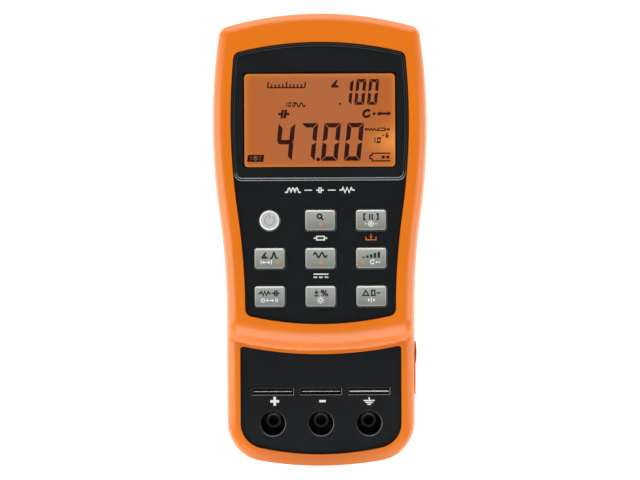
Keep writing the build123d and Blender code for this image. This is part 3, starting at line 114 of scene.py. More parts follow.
def add_node(tree: Tree, kind: str, inputs: dict, output: str | None = None, **settings) -> Socket | None:
    """Add one shader node with its settings, constants and links.

    Args:
        tree: the material's node tree.
        kind: the end of Blender's name of the node type.
        inputs: socket name or number, to a constant or to the output socket that feeds it.
        output: the output that is wanted, where it isn't the node's first one in use.
        **settings: the node's own properties.

    Returns:
        The wanted output, or None if the node has no output.
    """
    node = tree.nodes.new(f"ShaderNode{kind}")
    for name, value in settings.items():
        setattr(node, name, value)
    for key, value in inputs.items():
        if isinstance(value, Socket):
            tree.links.new(value, node.inputs[key])
        else:
            node.inputs[key].default_value = value
    return node.outputs[output] if output else next((s for s in node.outputs if s.enabled), None)


@dataclass(frozen=True)
class Finish:
    """A real surface: its colour and gloss, and how far both wander over it.

    The colour drifts softly between two tones over mottle_mm, as moulded and plated pieces do,
    and the grain of the tool or of the plating stands grain_depth_mm proud, grain_mm apart. Real
    grain is a few times finer, and is drawn this coarse so that it shows.
    """

    name: str
    colour: str
    shade: str
    roughness: float
    grain_mm: float = 0.5
    grain_depth_mm: float = 0.02
    mottle_mm: float = 12.0
    metallic: float = 0.0
    ior: float = 1.5
    specular: float = 0.5
    sheen: float = 0.0
    coat: float = 0.0
    alpha: float = 1.0
    transmission: float = 0.0
    gloss_drift: float = 0.06

    def material(self) -> bpy.types.Material:
        """Make the material on its first use.

        Returns:
            The material of this finish.
        """
        made = bpy.data.materials.get(self.name)
        if made is None:
            made = bpy.data.materials.new(self.name)
            made.use_nodes = True
            tree = made.node_tree
            tree.nodes.clear()
            inputs = self._inputs(tree, add_node(tree, "TexCoord", {}, "Object"))
            add_node(tree, "OutputMaterial", {"Surface": add_node(tree, "BsdfPrincipled", inputs)})
        return made

    def _inputs(self, tree: Tree, place: Socket) -> dict[str, object]:
        """Return the shader's inputs by name. What is the same all over is a plain value.

        Args:
            tree: the material's node tree.
            place: the place on the piece, as object coordinates.

        Returns:
            Each input's name, with a constant or the output that feeds it.
        """
        return {
            "Metallic": self.metallic,
            "IOR": self.ior,
            "Specular IOR Level": self.specular,
            "Sheen Weight": self.sheen,
            "Coat Weight": self.coat,
            "Alpha": self.alpha,
            "Transmission Weight": self.transmission,
            "Base Color": self._colour(tree, place),
            "Roughness": self._gloss(tree, place),
            "Normal": self._relief(tree, place),
        }

    def _colour(self, tree: Tree, place: Socket) -> Socket:
        """Return the base tone with every layer's tint laid over it.

        Args:
            tree: the material's node tree.
            place: the place on the piece, as object coordinates.

        Returns:
            The colour's output.
        """
        tone = self._base(tree, place)
        for share, tint in self._layers(tree, place):
            tone = add_node(tree, "Mix", {"Factor": share, "A": tone, "B": linear(tint)}, data_type="RGBA")
        return tone

    def _base(self, tree: Tree, place: Socket) -> Socket:
        """Return the colour, drifting between the two tones.

        Args:
            tree: the material's node tree.
            place: the place on the piece, as object coordinates.

        Returns:
            The colour's output.
        """
        lumps = add_node(tree, "TexNoise", {"Vector": place, "Scale": 1 / (self.mottle_mm * MM)})
        drift = add_node(tree, "MapRange", {"Value": lumps, "From Min": 0.3, "From Max": 0.7})
        return add_node(tree, "Mix", {
            "Factor": drift, "A": linear(self.colour), "B": linear(self.shade),
        }, data_type="RGBA")

    def _layers(self, tree: Tree, place: Socket) -> list[tuple[Socket, str]]:
        """Return how far each further tint covers, and the tint. Most finishes have none."""
        return []

    def _gloss(self, tree: Tree, place: Socket) -> Socket:
        """Return the roughness, a little uneven from handling and moulding.

        Args:
            tree: the material's node tree.
            place: the place on the piece, as object coordinates.

        Returns:
            The roughness's output.
        """
        return add_node(tree, "MapRange", {
            "Value": add_node(tree, "TexNoise", {
                "Vector": place, "Scale": 3 / (self.mottle_mm * MM), "Detail": 4.0,
            }),
            "To Min": max(self.roughness - self.gloss_drift, 0.02),
            "To Max": min(self.roughness + self.gloss_drift, 1.0),
        })

    def _relief(self, tree: Tree, place: Socket) -> Socket:
        """Return the normal that the grain gives.

        Args:
            tree: the material's node tree.
            place: the place on the piece, as object coordinates.

        Returns:
            The normal's output.
        """
        grain = add_node(tree, "TexNoise", {
            "Vector": place, "Scale": 1 / (self.grain_mm * MM), "Detail": 3.0,
        })
        return add_node(tree, "Bump", {"Height": grain, "Distance": self.grain_depth_mm * MM})


@dataclass(frozen=True)
class BrushedFinish(Finish):
    """Metal sheet or rod whose fine drawing lines run along one axis."""

    line_mm: float = 0.12
    run_mm: float = 6.0
    along_x: bool = True

    def _relief(self, tree: Tree, place: Socket) -> Socket:
        """Return the normal of fine lines: noise squeezed across them and stretched along them.

        Args:
            tree: the material's node tree.
            place: the place on the piece, as object coordinates.

        Returns:
            The normal's output.
        """
        fine, long = 1 / (self.line_mm * MM), 1 / (self.run_mm * MM)
        scale = (long, fine, fine) if self.along_x else (fine, fine, long)
        stretched = add_node(tree, "Mapping", {"Vector": place, "Scale": scale})
        lines = add_node(tree, "TexNoise", {"Vector": stretched, "Scale": 1.0})
        return add_node(tree, "Bump", {"Height": lines, "Distance": self.grain_depth_mm * MM})


@dataclass(frozen=True)
class BoardFinish(Finish):
    """Green solder mask over copper: traces show as paler lines, with gold rings at the vias."""

    trace_mm: float = 1.27
    via_mm: float = 5.08

    def _base(self, tree: Tree, place: Socket) -> Socket:
        """Return the mask's green, lighter over a brick pattern of traces.

        Args:
            tree: the material's node tree.
            place: the place on the piece, as object coordinates.

        Returns:
            The colour's output.
        """
        return add_node(tree, "TexBrick", {
            "Vector": place, "Scale": 1 / (self.trace_mm * 4 * MM), "Mortar Size": 0.06,
            "Color1": linear(self.colour), "Color2": linear(self.shade), "Mortar": linear("3F8A4C"),
        })

    def _layers(self, tree: Tree, place: Socket) -> list[tuple[Socket, str]]:
        """Return the bare gold at the middle of each via."""
        vias = add_node(tree, "TexVoronoi", {"Vector": place, "Scale": 1 / (self.via_mm * MM)})
        return [(add_node(tree, "Math", {0: vias, 1: 0.09}, operation="LESS_THAN"), "C8A24A")]


@dataclass(frozen=True)
class StripedFinish(Finish):
    """Layered elastomer: thin conducting and clear layers in turn along X."""

    stripe_mm: float = 0.5

    def _base(self, tree: Tree, place: Socket) -> Socket:
        """Return bands of the two tones across X.

        Args:
            tree: the material's node tree.
            place: the place on the piece, as object coordinates.

        Returns:
            The colour's output.
        """
        bands = add_node(tree, "TexWave", {
            "Vector": place, "Scale": 1 / (self.stripe_mm * 20 * MM),
        }, "Fac", bands_direction="X")
        return add_node(tree, "Mix", {
            "Factor": bands, "A": linear(self.colour), "B": linear(self.shade),
        }, data_type="RGBA")


@dataclass(frozen=True)
class LitFinish(Finish):
    """A liquid-crystal panel lit from its edges: one tone in the middle, another at both sides.

    With u and v running from -1 to 1 over the view, the tone goes with u^2, the rim's glow is
    |u|^n + |v|^(0.8 n), with n the rim's power, and the lamps add a glow of exp(-f d^2), with f
    lamp_fall and d the distance from lamp_spot.
    """

    centre: Point = (0.0, 0.0)
    half_size: Point = (29.6, 18.3)
    polariser: tuple[str, str] = ("2A1509", "2E170A")
    rim_colour: str = "EE8A33"
    lamp_colour: str = "FFA24A"
    lamp_spot: Point = (1.0, -0.45)
    lamp_fall: float = 14.0
    rim: float = 30.0
    glow_share: float = 0.7
    brightness: float = 1.0

    def _inputs(self, tree: Tree, place: Socket) -> dict[str, object]:
        """Return the inputs with the tone given off as light, over the polariser's own dim colour.

        Args:
            tree: the material's node tree.
            place: the place on the piece, as object coordinates.

        Returns:
            Each input's name, with a constant or the output that feeds it.
        """
        inputs = super()._inputs(tree, place)
        lumps = add_node(tree, "TexNoise", {"Vector": place, "Scale": 1 / (self.mottle_mm * MM)})
        dim, dimmer = map(linear, self.polariser)
        return inputs | {
            "Emission Color": inputs["Base Color"], "Emission Strength": self.brightness,
            "Base Color": add_node(tree, "Mix", {"Factor": lumps, "A": dim, "B": dimmer}, data_type="RGBA"),
        }

    def _view(self, tree: Tree, place: Socket) -> list[Socket]:
        """Return u and v, from -1 at one edge of the view to 1 at the other.

        Args:
            tree: the material's node tree.
            place: the place on the piece, as object coordinates.

        Returns:
            The outputs that carry u and v.
        """
        return [
            add_node(tree, "MapRange", {
                "Value": add_node(tree, "SeparateXYZ", {0: place}, "XY"[axis]),
                "From Min": (self.centre[axis] - self.half_size[axis]) * MM,
                "From Max": (self.centre[axis] + self.half_size[axis]) * MM, "To Min": -1.0,
            })
            for axis in (0, 1)
        ]

    def _base(self, tree: Tree, place: Socket) -> Socket:
        """Return the tone, which goes from the middle to both sides.

        Args:
            tree: the material's node tree.
            place: the place on the piece, as object coordinates.

        Returns:
            The colour's output.
        """
        across, _ = self._view(tree, place)
        broad = add_node(tree, "Math", {0: across, 1: across}, operation="MULTIPLY")
        return add_node(tree, "Mix", {
            "Factor": broad, "A": linear(self.colour), "B": linear(self.shade),
        }, data_type="RGBA")

    def _layers(self, tree: Tree, place: Socket) -> list[tuple[Socket, str]]:
        """Return the glow along the rim and the lamps' glow.

        Args:
            tree: the material's node tree.
            place: the place on the piece, as object coordinates.

        Returns:
            For each glow, the output that carries its share, and its tint.
        """
        across, up = self._view(tree, place)
        sides = [
            add_node(tree, "Math", {
                0: add_node(tree, "Math", {0: value}, operation="ABSOLUTE"), 1: power,
            }, operation="POWER")
            for value, power in ((across, self.rim), (up, self.rim * 0.8))
        ]
        rim = add_node(tree, "Math", dict(enumerate(sides)), operation="ADD")
        away = [
            add_node(tree, "Math", {0: value, 1: spot}, operation="SUBTRACT")
            for value, spot in zip((across, up), self.lamp_spot)
        ]
        squares = [add_node(tree, "Math", {0: value, 1: value}, operation="MULTIPLY") for value in away]
        squared = add_node(tree, "Math", dict(enumerate(squares)), operation="ADD")
        fall = add_node(tree, "Math", {0: squared, 1: -self.lamp_fall}, operation="MULTIPLY")
        lamps = add_node(tree, "Math", {0: fall}, operation="EXPONENT")
        return [
            (add_node(tree, "Math", {0: glow, 1: self.glow_share}, operation="MULTIPLY"), tint)
            for glow, tint in ((rim, self.rim_colour), (lamps, self.lamp_colour))
        ]


@dataclass(frozen=True)
class GlowFinish(Finish):
    """A translucent sweep lit from behind as well, so that it stays even and white."""

    glow: float = 0.2

    def _inputs(self, tree: Tree, place: Socket) -> dict[str, object]:
        """Return the inputs with an even white light."""
        lit = {"Emission Color": linear("FFFFFF"), "Emission Strength": self.glow}
        return super()._inputs(tree, place) | lit


@dataclass(frozen=True)
class EdgeHighlightFinish(Finish):
    """Grained plastic with a painted highlight along its edges, paler where the surface turns.

    With z the upright part of the surface's own direction, a flat face has |z| = 1 and a wall
    |z| = 0. The painted highlight is the product of one ramp that rises as |z| falls from 0.97 to
    0.86, another that rises as it goes from 0.15 to 0.45, and a third that rises as the surface turns
    towards the lit side, the side from which the studio light falls on an edge.
    """

    # Tint of the painted highlight, its greatest share, and the lit side that it favours.
    highlight_tint: str = "8E9294"
    highlight_share: float = 0.62
    light_side: tuple[float, float, float] = (-0.6, 0.8, 0.0)

    def _layers(self, tree: Tree, place: Socket) -> list[tuple[Socket, str]]:
        """Return the painted highlight along the edges.

        Args:
            tree: the material's node tree.
            place: the place on the piece, as object coordinates.

        Returns:
            The output that carries the painted highlight's share, and its tint.
        """
        normal = add_node(tree, "TexCoord", {}, "Normal")
        upright = add_node(tree, "SeparateXYZ", {0: normal}, "Z")
        tilt = add_node(tree, "Math", {0: upright}, operation="ABSOLUTE")
        towards = add_node(tree, "VectorMath", {0: normal, 1: self.light_side}, operation="DOT_PRODUCT")
        off_flat, off_wall, side = (
            add_node(tree, "MapRange", {
                "Value": value, "From Min": start, "From Max": end, "To Min": least, "To Max": most,
            })
            for value, start, end, least, most in (
                (tilt, 0.97, 0.86, 0.0, self.highlight_share), (tilt, 0.15, 0.45, 0.0, 1.0),
                (towards, -0.35, 0.45, 0.08, 1.0),
            )
        )
        edge = add_node(tree, "Math", {0: off_flat, 1: off_wall}, operation="MULTIPLY")
        return [(add_node(tree, "Math", {0: edge, 1: side}, operation="MULTIPLY"), self.highlight_tint)]


@dataclass(frozen=True)
class ScuffAndPaintedLightFinish(Finish):
    """A surface of another gloss and tone towards its lower end: the gloss changes with scuffing, the tone by
    painted light.

    The change goes from 0 to 1 as y goes from scuff_from to scuff_to. On the soft skin that is the
    end on which the case gets stood, and the darker tone there is painted shade.
    """

    scuffed: float = 0.85
    # Tint towards the lower end: painted shade on the soft skin, a painted highlight on the charcoal edge.
    painted_light_tint: str = "C26006"
    scuff_from: float = -81.5
    scuff_to: float = -88.6

    def _wear_and_painted_light(self, tree: Tree, place: Socket) -> Socket:
        """Return how far the surface is scuffed and tinted, from 0 to 1.

        Args:
            tree: the material's node tree.
            place: the place on the piece, as object coordinates.

        Returns:
            The output that carries the scuff and the painted tint's share.
        """
        return add_node(tree, "MapRange", {
            "Value": add_node(tree, "SeparateXYZ", {0: place}, "Y"),
            "From Min": self.scuff_from * MM, "From Max": self.scuff_to * MM,
        })

    def _layers(self, tree: Tree, place: Socket) -> list[tuple[Socket, str]]:
        """Return the share of the painted tint: painted shade on the soft skin, a painted highlight on the
        charcoal edge.
        """
        return [(self._wear_and_painted_light(tree, place), self.painted_light_tint)]

    def _gloss(self, tree: Tree, place: Socket) -> Socket:
        """Return the uneven roughness, changed where the surface is scuffed.

        Args:
            tree: the material's node tree.
            place: the place on the piece, as object coordinates.

        Returns:
            The roughness's output.
        """
        change = {0: self._wear_and_painted_light(tree, place), 1: self.scuffed - self.roughness}
        rise = add_node(tree, "Math", change, operation="MULTIPLY")
        return add_node(tree, "Math", {0: super()._gloss(tree, place), 1: rise},
                        operation="ADD", use_clamp=True)


@dataclass(frozen=True)
class PaintedShadeKeyFinish(Finish):
    """Sprayed key top with painted shade and a painted highlight: paler at the display end of each row.

    Up a row the tone goes from the shade to the colour as (y - foot) / height goes from 0 to 1,
    with foot + n * row_pitch the lower edge of row n, and to the rim's tone, a painted highlight, from the
    highlight's start on.
    """

    foot_y: float = -26.1
    row_pitch: float = 14.87
    height: float = 7.9
    # The rim's tone is a painted highlight, and the shade down each row is painted shade.
    rim: str = "E4E6E0"
    highlight_start: float = 0.91

    def _rise(self, tree: Tree, place: Socket) -> Socket:
        """Return how far up its own row a point lies, from 0 to 1.

        Args:
            tree: the material's node tree.
            place: the place on the piece, as object coordinates.

        Returns:
            The output that carries the height up the row.
        """
        up = add_node(tree, "SeparateXYZ", {0: place}, "Y")
        shifted = add_node(tree, "Math", {0: up, 1: self.foot_y * MM}, operation="SUBTRACT")
        along = add_node(tree, "Math", {0: shifted, 1: self.row_pitch * MM}, operation="FLOORED_MODULO")
        return add_node(tree, "MapRange", {"Value": along, "From Max": self.height * MM})

    def _base(self, tree: Tree, place: Socket) -> Socket:
        """Return the tone, painted shade from dark at the lower edge of a key to pale at its upper one, finely
        specked.

        Args:
            tree: the material's node tree.
            place: the place on the piece, as object coordinates.

        Returns:
            The colour's output.
        """
        grain = add_node(tree, "TexNoise", {
            "Vector": place, "Scale": 1 / (self.grain_mm * MM), "Detail": 3.0,
        })
        speck = add_node(tree, "MapRange", {"Value": grain, "To Min": -0.12, "To Max": 0.12})
        blend = add_node(tree, "Math", {0: self._rise(tree, place), 1: speck},
                         operation="ADD", use_clamp=True)
        return add_node(tree, "Mix", {
            "Factor": blend, "A": linear(self.shade), "B": linear(self.colour),
        }, data_type="RGBA")

    def _layers(self, tree: Tree, place: Socket) -> list[tuple[Socket, str]]:
        """Return the painted highlight: a bright line along each key's upper edge."""
        edge = {"Value": self._rise(tree, place), "From Min": self.highlight_start, "From Max": self.highlight_start + 0.04}
        return [(add_node(tree, "MapRange", edge), self.rim)]


@dataclass(frozen=True)
class PaintedHighlightRoundKeyFinish(Finish):
    """Sprayed round key with a painted highlight round its rim.

    The tone goes to the rim's as the distance from the key's axis goes from the highlight's inner
    radius to its outer one.
    """

    axis: Point = (-19.85, 7.61)
    # The rim's tone: a painted highlight.
    rim: str = "F6F7F4"
    highlight_from: float = 3.15
    highlight_to: float = 3.5

    def _layers(self, tree: Tree, place: Socket) -> list[tuple[Socket, str]]:
        """Return the painted highlight along the rim.

        Args:
            tree: the material's node tree.
            place: the place on the piece, as object coordinates.

        Returns:
            The output that carries the rim's share, and its tint.
        """
        flat = add_node(tree, "VectorMath", {0: place, 1: (1.0, 1.0, 0.0)}, operation="MULTIPLY")
        centre = (self.axis[0] * MM, self.axis[1] * MM, 0.0)
        reach = add_node(tree, "VectorMath", {0: flat, 1: centre}, operation="DISTANCE")
        edge = {"Value": reach, "From Min": self.highlight_from * MM, "From Max": self.highlight_to * MM}
        return [(add_node(tree, "MapRange", edge), self.rim)]


# Soft-touch thermoplastic elastomer, overmoulded: an even orange, satin and a little waxy; duller
# towards the terminal end, and darker there with painted shade.
SOFT_ORANGE = ScuffAndPaintedLightFinish("soft_touch_elastomer_orange", "EE7902", "E87601", 0.36, 0.6, 0.005, 30.0,
                            specular=0.7)
# Spark-eroded ABS: charcoal with a fine even grain that scatters light into a dull sheen, and a
# painted highlight on its edges.
SPARK_ABS = EdgeHighlightFinish("spark_eroded_abs_charcoal", "101417", "0E1114", 0.38, 0.7, 0.012, 14.0, specular=0.4)
# The same plastic with the back's coarser grain: greyer and duller, with the same painted highlight on its edges.
BACK_ABS = EdgeHighlightFinish("spark_eroded_abs_back", "1F2224", "1A1D1F", 0.55, 0.8, 0.04, 18.0, specular=0.4)
# Printed border under the window: flat black-grey ink behind gloss acrylic.
WINDOW_INK = Finish("screen_ink_window_border", "171B1E", "14181A", 0.5, 0.9, 0.004, 20.0, specular=0.2)
# Cast acrylic: clear and polished, with only a trace of haze.
CLEAR_ACRYLIC = Finish("polished_clear_acrylic", "FFFFFF", "FAFCFC", 0.03, 9.0, 0.0002, 40.0,
                       ior=1.49, transmission=1.0, alpha=0.35, gloss_drift=0.003)
# Edge of the charcoal plastic: dark, but smoother and paler along the side nearest the keys, a
# painted highlight, so that side shows as thin bright lines.
EDGE_PAINTED_HIGHLIGHT = ScuffAndPaintedLightFinish("abs_edge_charcoal_painted_highlight", "24282B", "1F2326", 0.4, 0.5, 0.002, 5.0,
                              scuffed=0.3, painted_light_tint="8C9092", scuff_from=27.0, scuff_to=24.5)
# Foam tape: black, open and without any shine.
BLACK_TAPE = Finish("foam_tape_black", "111213", "0C0D0E", 0.9, 0.4, 0.05, 4.0)
# Moulded ABS left white: satin, to throw the backlight forwards.
WHITE_ABS = Finish("moulded_abs_white", "DCDCD6", "D2D2CC", 0.5, 0.8, 0.01, 9.0)
# Layered elastomer: black and clear bands, drawn a few times wider than real so that they show.
ZEBRA = StripedFinish("layered_elastomer_strip", "1B1B1D", "8C8C90", 0.7, 0.6, 0.01)
# Frosted acrylic: a warm milky glow with a fine etched surface.
GUIDE = Finish("frosted_acrylic_light_guide", "F3C892", "EDBE83", 0.4, 0.5, 0.02, 8.0, ior=1.49)
# Cast epoxy: small glossy amber blocks.
LED = Finish("amber_epoxy_lamp", "F2A23C", "E8922B", 0.2, 0.4, 0.002, 2.0, coat=0.3)
# Fibreglass board under solder mask: glossy green with paler traces and gold dots.
BOARD = BoardFinish("fibreglass_board_green_mask", "14552F", "104A29", 0.35, 0.6, 0.02)
# Zinc-plated steel: pale, slightly blue, with drawing lines.
ZINC = BrushedFinish("zinc_plated_steel", "B9BBBE", "A6A8AA", 0.36, 0.4, 0.004, 3.0, metallic=1.0)
# Moulded nylon: black with a soft gloss.
BLACK_PA = Finish("moulded_nylon_black", "151617", "1C1D1E", 0.5, 0.5, 0.02, 6.0)
# Drawn aluminium: bright and cool, with lines from the die.
CAN = BrushedFinish("drawn_aluminium_can", "B4B8BC", "A3A7AB", 0.32, 0.4, 0.004, 3.0, metallic=1.0)
# Bright nickel plate: warm and nearly a mirror.
NICKEL = BrushedFinish("nickel_plate_bright", "C9C6C0", "B8B5AF", 0.24, 0.4, 0.002, 3.0, metallic=1.0)
# Tinned sheet: grey, softly blurred reflections.
TINPLATE = BrushedFinish("tinned_steel_sheet", "B7B9B6", "A5A7A4", 0.42, 0.5, 0.006, 5.0, metallic=1.0)
# Cast silicone: mid grey, dull, with a faint bloom.
SILICONE = Finish("cast_silicone_grey", "8F9492", "868B89", 0.6, 0.6, 0.01, 8.0, sheen=0.05)
# Key tops: silicone with a sprayed silver-grey coat, finely pearled, with painted shade down each
# row and a painted highlight along each upper edge.
KEY_SILVER = PaintedShadeKeyFinish("sprayed_silicone_silver_grey", "AAADA5", "7E8179", 0.36, 0.35, 0.004, 3.5)
# Power key: the same with a pearl-white coat, and a painted highlight round its rim.
KEY_PEARL = PaintedHighlightRoundKeyFinish("sprayed_silicone_pearl_white", "C4C6C3", "BDBFBC", 0.38, 0.35, 0.006, 3.0)
# Turned brass under dull plating: greenish grey, with lines along the axis.
BRASS = BrushedFinish("turned_brass_dull_plated", "A29D86", "908B75", 0.42, 0.4, 0.004, 3.0, metallic=1.0,
                      along_x=False)
# Spring bronze, nickel plated: bright and a little warm.
BRONZE = BrushedFinish("nickel_plated_spring_bronze", "CFCBC0", "BDB8AB", 0.26, 0.3, 0.003, 3.0,
                       metallic=1.0)
# Foil sleeve: dark, plain and glossy, loosely wrinkled.
SLEEVE = Finish("plain_foil_battery_sleeve", "2B2E31", "25282A", 0.32, 1.5, 0.006, 8.0, coat=0.3)
# Open-cell foam: grey, coarse and fully matt.
FOAM = Finish("open_cell_foam_grey", "3B3C3D", "2C2D2E", 0.95, 0.5, 0.12, 2.0)
# Moulded rubber: deep black and matt.
FOOT = Finish("moulded_rubber_black", "131313", "1B1B1B", 0.75, 0.4, 0.03, 3.0)
# Printing inks: flat, opaque and satin, in the tones of the panels and keys.
INK_WHITE = Finish("screen_ink_white", "E9ECEA", "DEE1DF", 0.5, 0.4, 0.004, 2.0)
INK_ORANGE = Finish("screen_ink_burnt_orange", "C8702C", "BD6826", 0.5, 0.4, 0.004, 2.0)
INK_KEY_ORANGE = Finish("pad_ink_orange", "DE8A45", "D6813C", 0.5, 0.4, 0.004, 2.0)
INK_DARK = Finish("pad_ink_charcoal", "161A1D", "121518", 0.5, 0.4, 0.004, 2.0)
INK_KEY_WHITE = Finish("pad_ink_white", "F4F6F4", "E9EBE9", 0.5, 0.4, 0.004, 2.0)
INK_PALE_GREY = Finish("pad_ink_pale_grey", "8D918F", "868A88", 0.5, 0.4, 0.004, 2.0)
# Switched liquid crystal: dark brown figures in front of the amber light.
SEGMENT = Finish("liquid_crystal_segment", "3C160A", "381409", 0.5, 0.8, 0.001, 4.0, specular=0.15)
# A sign left clear in a dark plate: the amber of the panel shows through.
LCD_CLEAR = Finish("liquid_crystal_clear_sign", "C47A48", "BC7343", 0.4, 0.8, 0.001, 4.0)
# Painted shade: a black deeper than moulded nylon, dull and without grain, lining the slots so that
# they read as deep holes, and laid along the inner edge of the window's border.
PAINTED_SHADE_BLACK = Finish("dead_black_painted_shade", "020203", "030304", 0.9, 0.5, 0.01, 6.0, specular=0.05)
# Socket mouths: a pale matt ring, a painted highlight for the glint on the plating, which shows as a
# fine ring in the dark.
SOCKET_MOUTH_HIGHLIGHT = Finish("socket_mouth_painted_highlight", "F4F4EC", "E6E6DE", 0.6, 0.3, 0.004, 2.0)
# Contact lips: nickel scraped dull by wires, pale from every side.
SCRAPED_NICKEL = BrushedFinish("nickel_scraped_lip", "E2E2DC", "CFCFC9", 0.5, 0.3, 0.004, 2.0, metallic=0.3)
# Studio floor: a matt white sweep.
FLOOR = GlowFinish("matt_white_sweep", "F6F6F6", "F4F4F4", 0.85, 3.0, 0.02, 200.0, glow=0.45)


class Paintwork(Enum):
    """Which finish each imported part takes."""

    SOFT = (SOFT_ORANGE, ("front_overmould", "rear_overmould"))
    FRONT = (SPARK_ABS, ("front_case",))
    BACK = (BACK_ABS, ("rear_case", "battery_cover", "tilt_stand"))
    CLEAR = (CLEAR_ACRYLIC, ("display_window",))
    TAPE = (BLACK_TAPE, ("window_tape",))
    WHITE = (WHITE_ABS, ("lcd_frame", "relays"))
    STRIPS = (ZEBRA, ("zebra_strips",))
    GUIDES = (GUIDE, ("light_guide",))
    LAMPS = (LED, ("backlight_leds",))
    BOARDS = (BOARD, ("display_board", "main_board"))
    STEEL = (ZINC, ("board_screws", "case_screws", "cover_screws"))
    BLACK = (BLACK_PA, ("board_headers", "main_chips", "buzzer", "dc_inlet", "battery_snap"))
    CANS = (CAN, ("capacitors",))
    BRIGHT = (NICKEL, ("crystal", "dc_inlet_pin"))
    TINNED = (TINPLATE, ("shield_can",))
    RUBBERY = (SILICONE, ("keypad_mat", *(f"web_{key}" for key in KEYS)))
    SOCKETS = (BRASS, (*(f"jack_{terminal}" for terminal in TERMINALS), "cover_inserts"))
    SPRINGS = (BRONZE, tuple(f"contact_{terminal}" for terminal in TERMINALS))
    CELL = (SLEEVE, ("battery",))
    SOFT_FOAM = (FOAM, ("battery_foam",))
    FEET = (FOOT, ("rubber_feet",))
    KEY_TOPS = (KEY_SILVER, tuple(f"key_{key}" for key in KEYS[1:]))
    POWER = (KEY_PEARL, ("key_power",))

    def apply(self) -> None:
        """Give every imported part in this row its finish."""
        finish, nodes = self.value
        for node in nodes:
            dress(node, finish)


def dress(node: str, finish: Finish) -> None:
    """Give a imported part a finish.

    Args:
        node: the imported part.
        finish: the surface that it takes.
    """
    for material_slot in frame["nodes"][node].material_slots:
        material_slot.material = finish.material()
    LOG.info("%s: %s", node, finish.name)


# ---------------------------------------------------------------- mesh building


def node_box(node: str) -> tuple[np.ndarray, np.ndarray]:
    """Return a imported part's lowest and highest corners in millimetres."""
    low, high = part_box(node)
    return np.array(low) / MM, np.array(high) / MM


def node_points(node: str) -> np.ndarray:
    """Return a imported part's own corners in millimetres, one row each."""
    return np.array([v.co for v in frame["nodes"][node].data.vertices]) / MM


def surface_at(node: str, start: Sequence[float], heading: Sequence[float]) -> np.ndarray:
    """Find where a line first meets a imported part.

    Args:
        node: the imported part.
        start: where the line starts, in millimetres.
        heading: the direction in which it runs.

    Returns:
        The point in millimetres.
    """
    hit, place, *_ = frame["nodes"][node].ray_cast(Vector([x * MM for x in start]), Vector(heading))
    if not hit:
        raise ValueError(f"{node} has nothing at {start}")
    return np.array(place) / MM


def window_outline(centre: np.ndarray) -> tuple[np.ndarray, float]:
    """Trace the window along its lowest level.

    Args:
        centre: the point about which the corners are put in order.

    Returns:
        The outline's corners, and the height of the window's face.
    """
    points = node_points("display_window")
    outline = np.unique(points[points[:, 2] < points[:, 2].min() + 0.01][:, :2].round(3), axis=0)
    bearing = np.arctan2(outline[:, 1] - centre[1], outline[:, 0] - centre[0])
    return outline[np.argsort(bearing)], points[:, 2].max()


def full_turn(around: int) -> np.ndarray:
    """Return evenly spaced angles once round, in radians."""
    return np.linspace(0, 2 * np.pi, around, endpoint=False)


def lifted(points: np.ndarray, height: float) -> np.ndarray:
    """Return flat points at a height, as rows of x, y and z."""
    return np.column_stack([points, np.full(len(points), height)])


def make_piece(name: str, vertices: np.ndarray, faces: Iterable[Sequence[int]], finish: Finish,
               slot: str, body: str = CASE_BODY, smooth_deg: float = 0.0) -> bpy.types.Object:
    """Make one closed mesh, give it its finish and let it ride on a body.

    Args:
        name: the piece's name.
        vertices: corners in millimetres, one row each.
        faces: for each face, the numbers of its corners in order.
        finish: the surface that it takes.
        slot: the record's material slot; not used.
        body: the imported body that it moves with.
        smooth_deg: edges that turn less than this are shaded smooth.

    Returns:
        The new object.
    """
    mesh = bpy.data.meshes.new(name)
    mesh.from_pydata((np.asarray(vertices) * MM).tolist(), [], [tuple(map(int, f)) for f in faces])
    work = bmesh.new()
    work.from_mesh(mesh)
    bmesh.ops.recalc_face_normals(work, faces=work.faces)
    work.to_mesh(mesh)
    work.free()
    mesh.materials.append(finish.material())
    if smooth_deg > 0:
        mesh.shade_smooth()
        mesh.set_sharp_from_angle(angle=math.radians(smooth_deg))
    piece = bpy.data.objects.new(name, mesh)
    bpy.context.scene.collection.objects.link(piece)
    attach(piece, body)
    LOG.info("%s: %d faces on %s", name, len(mesh.polygons), body)
    return piece


def tube_faces(rings: int, around: int, first: int = 0, closed: bool = False) -> np.ndarray:
    """Return the quads of a skin through rings of points.

    Ring i's point j is number first + i * around + j, and each quad joins two rings and two
    neighbouring points.

    Args:
        rings: how many rings follow each other.
        around: points in a ring, which closes on itself.
        first: the number of the first point.
        closed: whether the last ring joins the first.

    Returns:
        An array of quads, four numbers in each row.
    """
    i, j = np.meshgrid(np.arange(rings if closed else rings - 1), np.arange(around), indexing="ij")
    after_i, after_j = (i + 1) % rings, (j + 1) % around
    corners = (i * around + j, after_i * around + j, after_i * around + after_j, i * around + after_j)
    return first + np.stack(corners, axis=-1).reshape(-1, 4)


def end_faces(count: int, around: int, first: int = 0) -> list[range]:
    """Return the two faces that close a skin of count points at its first and last ring."""
    return [range(first, first + around), range(first + count - around, first + count)]


def turned(profile: Sequence[Point], centre: Sequence[float], around: int = 64) -> tuple[np.ndarray, np.ndarray]:
    """Return the skin of a closed profile turned about an upright axis.

    Each corner (r, z) of the profile becomes the ring (x + r cos t, y + r sin t, z), and the last
    ring joins the first.

    Args:
        profile: radius and height of each corner in millimetres.
        centre: a point whose x and y the axis runs through.
        around: points in each ring.

    Returns:
        The vertices and the quads.
    """
    turn = full_turn(around)
    rings = [
        lifted(np.column_stack([centre[0] + r * np.cos(turn), centre[1] + r * np.sin(turn)]), z)
        for r, z in profile
    ]
    return np.vstack(rings), tube_faces(len(rings), around, closed=True)


# ---------------------------------------------------------------- marks


